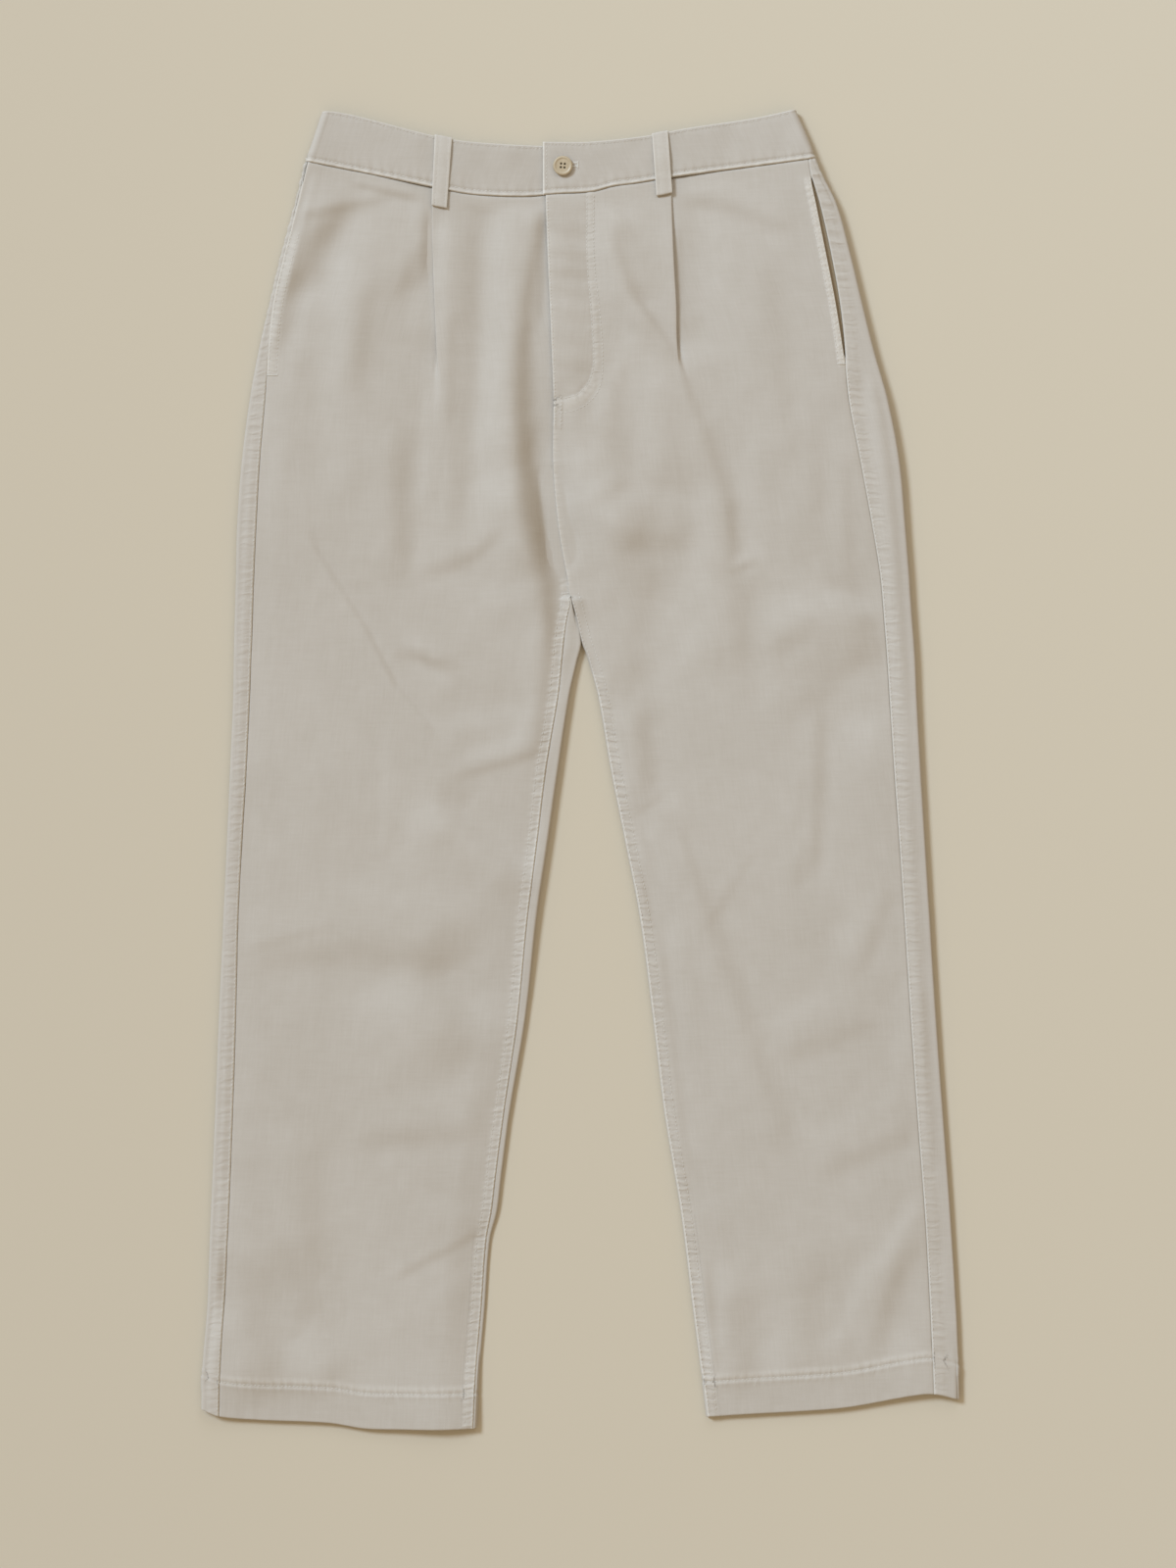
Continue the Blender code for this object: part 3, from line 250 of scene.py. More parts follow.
# ---- the cloth's own folds ---------------------------------------------------------
# Each row is a slope of the cloth: its line's start x, y and end x, y, its width, and how
# steeply it faces the light (+) or turns from it (-). The cloth evens out on both sides.
SLOPES = (
    # the right front
    (-66, 456, -70, 364, 14, 0.40),
    (-70, 364, -77, 268, 14, 0.42),
    (-77, 268, -82, 196, 14, 0.20),
    (-32, 450, -34, 364, 4.0, -0.30),
    (-34, 450, -42, 392, 6, -0.46),
    (-42, 392, -48, 336, 8, -0.46),
    (-48, 336, -48, 276, 10, -0.48),
    (-46, 276, -44, 228, 11, -0.78),
    (-32, 236, -26, 169, 9, -0.60),
    (-45, 230, -34, 170, 13, -0.86),
    (-30, 170, -26, 130, 10, -0.60),
    (-26, 130, -25, 98, 7, -0.46),
    (-26, 98, -35, 16, 7, -0.28),
    (-114, 446, -114, 364, 6, 0.24),
    (-114, 364, -114, 324, 6, 0.12),
    (-114, 324, -113, 196, 6, 0.10),
    (-87, 446, -89, 364, 11, -0.20),
    (-106, 364, -106, 284, 6, -0.18),
    (-89, 364, -92, 268, 11, -0.20),
    (-92, 268, -100, 196, 10, -0.14),
    (-125, 455, -127, 400, 6, -0.46),
    (-130, 424, -150, 384, 9, -0.30),
    (-135, 376, -138, 348, 8, 0.13),
    (-193, 436, -200, 308, 14, 0.22),
    (-200, 308, -202, 228, 14, 0.14),
    (-172, 396, -182, 312, 12, -0.24),
    (-147, 268, -145, 160, 12, -0.26),
    (-130, 159, -90, 171, 8, -0.24),
    (-90, 171, -67, 192, 6, -0.24),
    (-87, 134, -50, 172, 16, 0.12),
    (-125, 308, -130, 220, 7, 0.17),
    (-158, 465, -228, 450, 4.8, -0.26),
    (-182, 477, -134, 466, 4.0, -0.34),
    (-190, 458, -218, 432, 13, -0.60),
    (-218, 432, -231, 391, 14, -0.68),
    (-234, 404, -244, 346, 9, -0.42),
    (-220, 186, -175, 114, 2.8, -0.22),
    (-175, 114, -151, 68, 2.8, -0.24),
    (-151, 68, -122, 34, 2.8, -0.24),
    (-141, 96, -110, 82, 6, -0.24),
    (-111, 38, -36, 46, 12, 0.18),
    (-92, 10, -38, 30, 10, 0.26),
    (-100, -6, -34, 14, 4.8, -0.20),
    (-158, 40, -162, -60, 6, 0.10),
    (-242, -4, -225, -52, 16, 0.07),
    (-145, -36, -129, -68, 12, 0.07),
    (-114, -30, -49, -86, 12, -0.22),
    (-202, -96, -74, -112, 14, 0.06),
    (-270, -146, -198, -127, 4.8, -0.12),
    (-268, -156, -198, -148, 13, -0.15),
    (-198, -148, -106, -160, 16, -0.14),
    (-132, -166, -90, -214, 21, -0.21),
    (-158, -276, -74, -252, 11, 0.05),
    (-174, -302, -82, -295, 10, -0.15),
    (-130, -352, -82, -362, 11, 0.09),
    (-77, -374, -150, -414, 4.0, -0.20),
    (-82, -402, -130, -434, 8, 0.07),
    (-223, -304, -217, -396, 16, -0.16),
    (-217, -396, -201, -508, 21, -0.15),
    (-282, -432, -242, -490, 24, -0.24),
    (-282, -332, -218, -436, 13, -0.09),
    # the left front
    (10, 448, 23, 388, 13, 0.32),
    (23, 388, 46, 352, 10, 0.18),
    (26, 458, 38, 446, 4.8, -0.16),
    (26, 432, 44, 384, 6, -0.18),
    (44, 384, 78, 338, 4.8, -0.32),
    (15, 324, 10, 244, 12, 0.24),
    (31, 336, 6, 276, 7, 0.14),
    (46, 322, 55, 236, 16, 0.24),
    (-10, 308, -4, 236, 11, 0.28),
    (4, 214, 38, 231, 10, -0.36),
    (2, 207, 33, 188, 13, -0.24),
    (-1, 177, 38, 169, 18, -0.28),
    (22, 154, 25, 97, 14, -0.15),
    (33, 186, 87, 183, 11, -0.17),
    (9, 148, 50, 148, 21, -0.20),
    (38, 223, 90, 217, 10, 0.10),
    (52, 156, 38, 64, 18, -0.30),
    (98, 224, 98, 148, 11, 0.20),
    (98, 120, 78, 84, 10, 0.12),
    (86, 312, 103, 276, 7, -0.10),
    (103, 276, 121, 220, 8, -0.20),
    (121, 220, 125, 168, 7, -0.27),
    (125, 162, 140, 168, 4.0, -0.32),
    (128, 148, 135, 94, 14, -0.26),
    (134, 268, 146, 180, 11, 0.14),
    (164, 228, 167, 180, 13, 0.10),
    (154, 94, 199, 121, 14, -0.42),
    (199, 144, 234, 128, 8, 0.20),
    (238, 98, 190, 76, 18, -0.46),
    (217, 118, 177, 78, 11, -0.26),
    (190, 66, 238, 50, 16, -0.14),
    (154, 92, 150, 48, 10, 0.12),
    (152, 418, 164, 310, 10, -0.12),
    (164, 310, 176, 252, 10, -0.12),
    (192, 292, 194, 204, 10, -0.15),
    (215, 252, 220, 148, 7, -0.14),
    (86, 466, 126, 456, 7, -0.16),
    (126, 456, 164, 439, 8, -0.16),
    (126, 380, 130, 308, 10, 0.08),
    (87, 448, 90, 348, 10, -0.18),
    (79, 438, 81, 360, 4.0, -0.24),
    (47, 46, 55, -24, 11, -0.28),
    (46, -36, 71, -17, 4.0, -0.12),
    (180, -6, 175, -57, 6, -0.12),
    (44, -41, 60, -84, 6, -0.14),
    (82, -54, 103, -112, 6, -0.12),
    (103, -112, 146, -232, 10, -0.15),
    (63, -128, 84, -308, 6, -0.17),
    (146, -232, 170, -300, 11, -0.12),
    (103, -128, 143, -66, 4.8, -0.10),
    (196, 40, 190, -84, 7, -0.24),
    (181, -60, 175, -100, 7, -0.14),
    (250, -104, 230, -160, 8, -0.16),
    (222, -120, 202, -172, 10, 0.12),
    (218, -176, 159, -208, 10, 0.10),
    (236, -208, 166, -234, 11, -0.14),
    (263, -172, 258, -248, 10, 0.15),
    (266, -252, 196, -302, 10, 0.09),
    (270, -296, 198, -328, 10, -0.15),
    (186, -404, 190, -480, 19, -0.18),
    (274, -348, 243, -406, 9, 0.17),
    (240, -400, 202, -472, 9, 0.16),
    (266, -388, 238, -480, 12, -0.28),
    (212, -436, 220, -480, 13, -0.16),
    (103, -404, 108, -492, 6, -0.26),
    (134, -412, 138, -484, 19, -0.12),
    (38, -60, 86, -124, 11, 0.09),
    (86, -350, 119, -358, 13, 0.07),
    (114, -452, 142, -490, 14, -0.16),
    (86, -140, 95, -316, 10, -0.06),
    # the strips outside the outseams
    (233, 316, 248, 180, 7, 0.30),
    (248, 180, 257, 52, 7, 0.28),
    (257, 52, 278, -316, 7, 0.16),
    (-265, 268, -277, 28, 7, -0.20),
    (-277, 28, -292, -316, 7, -0.20),
    (-292, -316, -297, -412, 7, -0.24),
    (-298, -404, -306, -516, 10, -0.46),
)
LIGHT_SIDE = (-0.766, 0.643)
SLOPE_SPREAD = 3.0      # a slope is made up for over this many times its width
SLOPE_END = 7.0         # and fades over this much more at its ends
SLOPE_CLEAR_WAIST = 14  # slopes grow over this length below the waist
SLOPE_CLEAR_HEM = 34    # and above the hem's edge, from this share
SLOPES_AT_HEM = 0.3
SLOPE_CLEAR_EDGE = (4, 9)  # and start this far in from a leg's edge, over this width

# ---- seams ---------------------------------------------------------------------------
TUCK_DROP = 1.4         # a lower edge that runs on under an upper one goes down this far
WAIST_TUCK = 1.9        # and the panels' top edges under the waistband this far
EDGE_FADE = 0.8         # what stands proud of the cloth starts this far in from an edge
SIDE_BAND = 9.0         # the back's raised allowance beside the outseam
INSEAM_BAND = 7.6       # the front's raised, stitched allowance beside the inseam
INSEAM_TOP = {"right": 160.0, "left": 84.0}
FLY_FOOT = 306.0        # below this the fly's two rows of stitches curve to its edge
FLY_ROW_GAP = 6.0       # between the two rows, and this much more at the foot
FLY_FOOT_GAP = 3.4
FLY_DOUBLE = (277.0, 296.0)  # below the foot the edge is stitched twice between these
FLY_STITCH = ((4.8, 468.0), (4.8, 417.6), (8.8, 364.8), (10.2, 331.0), (6.5, 316.0),
              (-2.0, 306.0), (-12.0, 302.4), (-21.5, 301.4))
FLY_SECOND = ((10.4, 468.0), (10.4, 417.6), (16.0, 364.8), (17.6, 327.0), (14.4, 309.0),
              (4.6, 297.2), (-7.0, 291.6), (-20.5, 290.0))
# Puckers beside the stitches: a wave's length, and how far it slants as it crosses them.
INSEAM_PUCKERS = (5.6, 0.1)
MOUTH_PUCKERS = (5.6, 0.4)
FLY_PUCKERS = (6.0, 0.15)
FLY_EDGE_PUCKERS = (11.0, 0.2)
OVER_FLY_PUCKERS = (19.0, 0.12)
HEM_PUCKERS = (8.0, 0.3)
HEM_EDGE_PUCKERS = (12.0, 0.2)
SIDE_PUCKERS = (7.4, 0.1)
SIDE_CREASES = (11.0, 0.3)
BAND_LOW_PUCKERS = (8.0, 0.15)
BAND_TOP_PUCKERS = (5.0, 0.1)
# How high a seam's raised band and its puckers stand, and how deep its stitches lie.
INSEAM_HEIGHTS = (0.5, 0.4, 0.35)
MOUTH_HEIGHTS = (0.5, 0.22, 0.3)
FLY_HEIGHTS = (0.25, 0.34, 0.4)
SIDE_HEIGHTS = (0.35, 0.3, 0.22)
# The same as shares of worn colour, for the band and the puckers.
INSEAM_WORN = (0.1, 0.25)
MOUTH_WORN = (0.5, 0.2)
FLY_WORN = (0.12, 0.2)
SIDE_WORN = (0.05, 0.15)
# Unevenness of the cloth: its height, and its size across and down.
FRONT_CLOUD = (0.09, 9.0, 13.0)
BACK_CLOUD = (0.06, 9.0, 13.0)
BAND_CLOUD = (0.5, 15.0, 34.0)
THREAD_RADIUS = 0.24
BAR_THREAD_RADIUS = 0.28
STITCH_PITCH = 3.1
STITCH_LENGTH = 2.35
LINE_STEP = 12.0        # between the points that a long row of stitches is drawn through
# Rows of stitches, in from the edge that each holds down.
INSEAM_EDGE_ROW = 1.3
OUTSEAM_ROW = 1.4
FLY_EDGE_ROW, FLY_INNER_ROW = 1.5, 6.4
BAND_LOW_ROW, BAND_TOP_ROW, BAND_END_ROW = 3.9, 2.3, 3.0
BUTTONHOLE_UP = 1.1     # its middle over the button's
BUTTONHOLE_ENDS = (-20.0, -3.4)
BUTTONHOLE_HALF = 1.5   # half the width between its two bars of stitches
BUTTONHOLE_END_BAR = (-2.7, 2.6)  # x, half length

CROTCH_LAP = 1.5        # the left leg's crotch lies this far over the right's
CROTCH_TUCK = 1.2       # and the right's runs on this far under it
CROTCH_LIFT = {"right": 0.55 * 1.6, "left": 1.6}  # the rolls are this much higher there
# Where that is so: the middle's y, half the length, and the length over which it fades.
CROTCH_LAP_ZONE = (121.0, 15.0, 14.0)
CROTCH_TUCK_ZONE = (129.0, 13.0, 8.0)
CROTCH_LIFT_ZONE = (121.0, 18.0, 26.0)
LAP_END = 110.0         # below this the left leg's edge turns down to the floor
ROUNDING_START = 14     # over this length
LOOSER = 2.4            # the cloth lies this much looser than the solids
LOOSER_REACH = 80       # from this far above the hem's edge up
LEG_LENGTH = 1010.0
ROW_STEP = 2.0
# Rows of points below the waist seam, and above the hem's edge.
WAIST_ROWS = (-4.0, -2.8, -1.8, -1.0, -0.4, 0.2, 0.9, 1.8)
HEM_ROWS = (2.2, 1.4, 0.8, 0.4, 0.15, 0.0)


# ==== curves, noise and reliefs =======================================================
def mix(start, end, share):
    return start + (end - start) * share


def ease(share):
    share = np.clip(share, 0.0, 1.0)
    return share * share * (3 - 2 * share)


def fade(distance, reach):
    return 1 - ease(distance / reach)


def zone(place, extent):
    """1 in a stretch given by its middle, half length and fade, and 0 far from it."""
    middle, half, reach = extent
    return fade(np.abs(place - middle) - half, reach)


def bell(distance, width):
    return np.exp(-(distance / width) ** 2)


class Curve:
    """A smooth curve through (station, value) pairs, which runs on straight past its ends."""

    def __init__(self, pairs):
        self.stations, self.values = np.array(sorted(pairs), float).T
        places = np.arange(len(self.stations))
        before, after = np.maximum(places - 1, 0), np.minimum(places + 1, places[-1])
        self.slopes = ((self.values[after] - self.values[before])
                       / (self.stations[after] - self.stations[before]))

    def __call__(self, station):
        station = np.asarray(station, float)
        low = np.clip(np.searchsorted(self.stations, station) - 1, 0, len(self.stations) - 2)
        width = self.stations[low + 1] - self.stations[low]
        share = np.clip((station - self.stations[low]) / width, 0.0, 1.0)
        square, cube = share ** 2, share ** 3
        value = ((2 * cube - 3 * square + 1) * self.values[low]
                 + (cube - 2 * square + share) * width * self.slopes[low]
                 + (3 * square - 2 * cube) * self.values[low + 1]
                 + (cube - square) * width * self.slopes[low + 1])
        value += np.minimum(station - self.stations[0], 0.0) * self.slopes[0]
        return value + np.maximum(station - self.stations[-1], 0.0) * self.slopes[-1]


def curves_of(table, columns):
    return {name: Curve([(row[0], row[place]) for row in table])
            for place, name in enumerate(columns) if place}


def ripple(seed, along, wave):
    """Uneven waves along a seam, between -1 and 1, about one in each wave's length."""
    knots = np.random.default_rng(seed).uniform(-1, 1, 4096)
    place = np.asarray(along, float) / (wave / 2) + 1500.0
    low = np.floor(place).astype(int)
    return mix(knots[low % 4096], knots[(low + 1) % 4096], ease(place - low))


def cloud(seed, x, y, size_x, size_y):
    """Smooth unevenness over the cloth, between -1 and 1."""
    knots = np.random.default_rng(seed).uniform(-1, 1, (256, 256))
    across, along = x / size_x + 100.0, y / size_y + 100.0
    low_x, low_y = np.floor(across).astype(int), np.floor(along).astype(int)
    share_x, share_y = ease(across - low_x), ease(along - low_y)
    low_x, low_y = low_x % 255, low_y % 255
    return mix(mix(knots[low_x, low_y], knots[low_x + 1, low_y], share_x),
               mix(knots[low_x, low_y + 1], knots[low_x + 1, low_y + 1], share_x), share_y)


def bell_step(place):
    """The integral of exp(-t**2), from -1 to 1, nearly."""
    return np.tanh(place * (1.1283 + 0.1009 * place ** 2 / (1 + 0.04 * place ** 2)))


def slope_relief(x, y):
    """The height of all the slopes: each is a soft step across its line."""
    relief = np.zeros(np.shape(x))
    for x0, y0, x1, y1, width, steepness in SLOPES:
        length = math.hypot(x1 - x0, y1 - y0)
        along_x, along_y = (x1 - x0) / length, (y1 - y0) / length
        facing = along_y * LIGHT_SIDE[0] - along_x * LIGHT_SIDE[1]
        side = -math.copysign(1, facing)
        along = (x - x0) * along_x + (y - y0) * along_y
        across = side * ((x - x0) * along_y - (y - y0) * along_x)
        reach = SLOPE_END + 0.8 * width
        ends = ease((along + reach) / (2 * reach)) * ease((length - along + reach) / (2 * reach))
        step = bell_step(across / width) - bell_step(across / (width * SLOPE_SPREAD))
        relief += 0.886 * width * steepness / max(abs(facing), 0.4) * ends * step
    return relief


def near_path(path, x, y):
    """For each place, how far it is from a path (left of it is +) and how far along."""
    path = np.asarray(path, float)
    best = np.full(np.shape(x), 1e9)
    signed, along = np.zeros(np.shape(x)), np.zeros(np.shape(x))
    travelled = 0.0
    for (x0, y0), (x1, y1) in zip(path, path[1:]):
        length = math.hypot(x1 - x0, y1 - y0)
        share = np.clip(((x - x0) * (x1 - x0) + (y - y0) * (y1 - y0)) / length ** 2, 0, 1)
        away = np.hypot(x - mix(x0, x1, share), y - mix(y0, y1, share))
        side = np.sign((x1 - x0) * (y - y0) - (y1 - y0) * (x - x0))
        closer = away < best
        best = np.where(closer, away, best)
        signed = np.where(closer, away * side, signed)
        along = np.where(closer, travelled + share * length, along)
        travelled += length
    return signed, along


def smooth_path(points, step):
    """Points every step along a smooth curve through a few points."""
    points = np.asarray(points, float)
    stations = np.concatenate([[0], np.cumsum(np.hypot(*np.diff(points, axis=0).T[:2]))])
    count = max(2, int(round(stations[-1] / step)) + 1)
    places = np.linspace(0, stations[-1], count)
    return np.stack([Curve(list(zip(stations, column)))(places) for column in points.T], axis=1)


def puckers(seed, across, along, wave, slant):
    """Gathered ropes beside a line of stitches, uneven in length, height and spacing."""
    along = along + slant * across + 0.45 * wave * ripple(seed + 3, along, wave * 5)
    place = along / (wave / 2) + 2000.0
    low = np.floor(place).astype(int)
    heights = np.random.default_rng(seed).uniform(0.45, 1.15, 8192)
    heights[::2] *= -1
    rope = mix(heights[low % 8192], heights[(low + 1) % 8192], ease(place - low))
    return rope * (0.72 + 0.38 * ripple(seed + 1, along, wave * 7))


waist_seam = Curve(WAIST_SEAM)
puff = Curve(PUFF)
waist_tops = {"right": Curve(WAIST_TOP_RIGHT), "left": Curve(WAIST_TOP_LEFT)}
pleat_shape = curves_of(PLEAT, PLEAT_COLUMNS)
lap = curves_of(LAP, LAP_COLUMNS)


# ==== one leg's outline ===============================================================
class Leg:
    """A leg's outline. outward is -1 for right, +1 for left."""

    def __init__(self, name, outward, table, hem_edge, band_height, seed):
        self.name = name
        self.outward = outward
        self.lines = curves_of(table, LEG_COLUMNS)
        self.hem_edge = Curve(hem_edge)
        self.band_height = Curve(band_height)
        self.outer_roll = Curve(OUTER_ROLL[name])
        self.low_inner_roll = Curve(INNER_ROLL[name])
        self.inner_hem_x = hem_edge[-1][0] if outward < 0 else hem_edge[0][0]
        self.seed = seed
        self.wraps = name == "left"

    def line(self, name, y):
        value = self.lines[name](y)
        if name == "inner_fold" and self.wraps:
            value = value - CROTCH_LAP * zone(y, CROTCH_LAP_ZONE)
        elif name == "inner_fold":
            value = value + CROTCH_TUCK * zone(y, CROTCH_TUCK_ZONE)
        return value

    def inner_roll(self, y):
        return self.low_inner_roll(y) + CROTCH_LIFT[self.name] * zone(y, CROTCH_LIFT_ZONE)

    def from_outer(self, x, y):
        return self.outward * (self.line("outer_fold", y) - x)

    def from_inner(self, x, y):
        return self.outward * (x - self.line("inner_fold", y))

    def outer_seam(self, y):
        inset = np.maximum(self.from_outer(self.line("outseam", y), y),
                           self.roll_inset(self.outer_roll(y), y) + SMALLEST_SEAM_INSET)
        return self.line("outer_fold", y) - self.outward * inset

    def inner_seam(self, y):
        inset = np.maximum(self.from_inner(self.line("inseam", y), y),
                           self.roll_inset(self.inner_roll(y), y) + SMALLEST_SEAM_INSET)
        if self.wraps:
            inset = self.half_wall(y) + 0.05
        below = self.line("inner_fold", y) + self.outward * inset
        above = self.line("inseam", y)
        if self.wraps:
            above = above - CROTCH_LAP * fade(y - CROTCH_Y - 1.0, 15.0)
        return np.where(y >= CROTCH_Y, above, below)

    def hem_edge_at(self, x):
        inside = self.outward * (x - self.inner_hem_x) < 0
        return self.hem_edge(np.where(inside, self.inner_hem_x, x))

    def wall_at(self, y, x):
        above_edge = y - self.hem_edge_at(x)
        return mix(HEM_CLOTH, CLOTH, ease((above_edge - HEM_DEPTH + HEM_BLEND / 2) / HEM_BLEND))

    def half_wall(self, y):
        return self.wall_at(y, self.line("pleat", y)) / 2

    def roll_inset(self, roll_height, y):
        """How far in from the leg's edge a roll of this height is at its highest."""
        half = self.half_wall(y)
        return half + (roll_height - half) / 2

    def row_y(self, share, x):
        """y at a share of the way from the waist seam, 0, to the hem's edge, 1."""
        return mix(waist_seam(x) - WAIST_GAP / 2, self.hem_edge_at(x), share)

    def settle(self, share, x_at):
        """x and y on a row, on a line given as x for each y."""
        y = self.row_y(share, self.line("pleat", 0.0))
        for _ in range(4):
            x = x_at(y)
            y = self.row_y(share, x)
        return x, y

    def pleat_at(self, x, y):
        below_waist = waist_seam(x) - y
        turn = np.radians(np.clip(pleat_shape["turn"](below_waist), 0.0, 180.0))
        depth = np.maximum(pleat_shape["depth"](below_waist), PLEAT_LEAST_DEPTH)
        return depth, turn, pleat_shape["arc"](below_waist)


def turned(arc, turn):
    """Where cloth of this length ends after bending evenly through turn: onward, down."""
    half = turn / 2
    return arc * np.sinc(turn / np.pi), arc * half * np.sinc(half / np.pi) ** 2


def pleat_drop(leg, x, y):
    depth, turn, arc = leg.pleat_at(x, y)
    down = np.clip((waist_seam(x) - y - PLEAT_GAPE_FROM) / PLEAT_GAPE_LENGTH, 0, 1)
    gape = PLEAT_GAPE[leg.name] * np.sin(np.pi * down)
    return 2 * turned(arc, turn)[1] + depth * np.sin(turn) + gape


RIGHT = Leg("right", -1, RIGHT_LEG, HEM_EDGE_RIGHT, BAND_HEIGHT_RIGHT, 100)
LEFT = Leg("left", 1, LEFT_LEG, HEM_EDGE_LEFT, BAND_HEIGHT_LEFT, 200)


# ==== heights of the middle of the wall ===============================================
def front_floor(leg, x, y):
    above_edge = y - leg.hem_edge_at(x)
    return mix(FRONT_FLOOR, HEM_FLOOR, fade(above_edge - HEM_DEPTH, HEM_LIFT_REACH))


def top_height(leg, x, y):
    """The height of the cloth that shows from above, without the centre's lap."""
    floor = front_floor(leg, x, y)
    above_hem, below_waist = y - leg.hem_edge_at(x), waist_seam(x) - y
    from_outer, from_inner = leg.from_outer(x, y), leg.from_inner(x, y)
    outer = fade(from_outer - leg.roll_inset(leg.outer_roll(y), y), ROLL_REACH)
    inner = fade(from_inner - leg.roll_inset(leg.inner_roll(y), y), ROLL_REACH)
    inner = inner * ease((CROTCH_Y - y) / INNER_ROLL_START)
    puffed = floor + puff(y) + LOOSER * ease(above_hem / LOOSER_REACH)
    height = mix(mix(puffed, leg.outer_roll(y), outer), leg.inner_roll(y), inner)
    half = leg.half_wall(y)
    radius = (leg.inner_roll(y) - half) / 2
    lean = np.clip(1 - (from_inner - half) / radius, 0, 1)
    rounded_from = LAP_END if leg.wraps else CROTCH_Y
    rounding = ease((rounded_from - y) / ROUNDING_START)
    height = height - rounding * radius * (1 - np.sqrt(1 - lean ** 2))
    at_band = leg.band_height(x) + BAND_CLOTH / 2 - BAND_PROUD - CLOTH / 2
    height = mix(at_band, height, ease(below_waist / BAND_BLEND))
    start, width = SLOPE_CLEAR_EDGE
    in_from_inner = np.where(y < CROTCH_Y, ease((from_inner - start) / width), 1)
    in_from_edges = ease((from_outer - start) / width) * in_from_inner
    from_hem = mix(SLOPES_AT_HEM, 1, ease(above_hem / SLOPE_CLEAR_HEM))
    clear = ease((below_waist - 2) / SLOPE_CLEAR_WAIST) * from_hem
    height = height + slope_relief(x, y) * clear * in_from_edges
    at, reach, lift = HEM_LIFTS[leg.name]
    height = height + lift * bell(x - at, reach) * fade(above_hem, HEM_LIFT_HEIGHT)
    return np.maximum(height, floor)


def lap_shift(leg, x, y):
    from_lap = np.abs(x - leg.line("inseam", y)) - lap["width"](y)
    share = fade(from_lap, LAP_REACH) * ease((waist_seam(x) - y) / BAND_BLEND)
    return np.where(y > LAP[-1][0], leg.outward * lap["step"](y) / 2 * share, 0.0)


def front_height(leg, x, y):
    height = top_height(leg, x, y) + lap_shift(leg, x, y)
    past_pleat = leg.outward * (x - leg.line("pleat", y))
    drop = pleat_drop(leg, x, y) * fade(past_pleat - PLEAT_FOOT, PLEAT_REACH)
    height = np.where(past_pleat > 0, height - drop, height)
    return np.maximum(height, front_floor(leg, x, y))


def mouth_share(leg, y):
    """How open the pocket's mouth is: 0 at its ends and up to 1 between them."""
    top, bottom, _ = POCKET_MOUTHS[leg.name]
    return np.sin(np.pi * np.clip((top - y) / (top - bottom), 0, 1) ** 0.8) ** 0.6


# ==== meshes ==========================================================================
def zipper(fine, fine_at, coarse, coarse_at):
    """Triangles between two lines of points, each with its places along the way."""
    i = j = 0
    while i < len(fine) - 1 or j < len(coarse) - 1:
        next_fine = fine_at[i + 1] if i < len(fine) - 1 else math.inf
        next_coarse = coarse_at[j + 1] if j < len(coarse) - 1 else math.inf
        if next_fine <= next_coarse:
            yield fine[i], fine[i + 1], coarse[j]
            i += 1
        else:
            yield fine[i], coarse[j + 1], coarse[j]
            j += 1


def quads(index):
    """The faces of a grid of point numbers."""
    corners = np.stack([index[:-1, :-1], index[:-1, 1:], index[1:, 1:], index[1:, :-1]], axis=-1)
    return corners.reshape(-1, 4).tolist()


def cloth_mesh(name, facing, middle, half, relief, wear, gathers, grain, keep_rows,
               keep_columns, material):
    """A closed wall: a fine outer face, and an inner face of fewer points.

    facing is the side of the grid that shows, 1 or -1, middle the grid of points in the
    middle of the wall, half the half thickness, which falls to 0 at a rounded edge,
    relief what stands proud of the outer face, and gathers each place's distance along
    and across the nearest stitching, with the strength of its gathers."""
    across = np.gradient(middle, axis=1)
    down = np.gradient(middle, axis=0)
    normal = facing * np.cross(down, across)
    normal /= np.maximum(np.linalg.norm(normal, axis=2, keepdims=True), 1e-9)
    outer = middle + normal * (half + relief)[:, :, None]
    outer[:, :, 2] = np.maximum(outer[:, :, 2], 0.0)
    inner = (middle - normal * half[:, :, None])[np.ix_(keep_rows, keep_columns)]
    rows, columns = middle.shape[:2]
    fine = np.arange(rows * columns).reshape(rows, columns)
    coarse = rows * columns + np.arange(len(keep_rows) * len(keep_columns))
    coarse = coarse.reshape(len(keep_rows), len(keep_columns))
    faces = quads(fine) + quads(coarse[::-1])
    row_at, column_at = np.array(keep_rows, float), np.array(keep_columns, float)
    row_at[[0, -1]], column_at[[0, -1]] = (0, rows - 1), (0, columns - 1)
    for near in (0, -1):
        faces += list(zipper(fine[near].tolist(), range(columns), coarse[near].tolist(), column_at))
        faces += list(zipper(fine[:, near].tolist(), range(rows), coarse[:, near].tolist(), row_at))
    points = np.concatenate([outer.reshape(-1, 3), inner.reshape(-1, 3)]) * MM
    data = bpy.data.meshes.new(name)
    data.from_pydata(points.tolist(), [], faces)
    hidden = len(points) - rows * columns
    write(data, "wear", "FLOAT", np.concatenate([wear.ravel(), np.zeros(hidden)]))
    places = np.concatenate([grain.reshape(-1, 2), np.zeros((hidden, 2))]) * MM
    places = np.concatenate([places, np.zeros((len(places), 1))], axis=1)
    write(data, "cloth", "FLOAT_VECTOR", places)
    sewn = np.concatenate([gathers.reshape(-1, 3), np.zeros((hidden, 3))])
    write(data, "gathers", "FLOAT_VECTOR", sewn)
    close_up(data)
    return finished(name, data, material)


def write(data, name, kind, values):
    """Stores a value or a vector for each point, for the material to read."""
    stored = data.attributes.new(name, kind, "POINT").data
    stored.foreach_set("value" if kind == "FLOAT" else "vector", values.ravel())


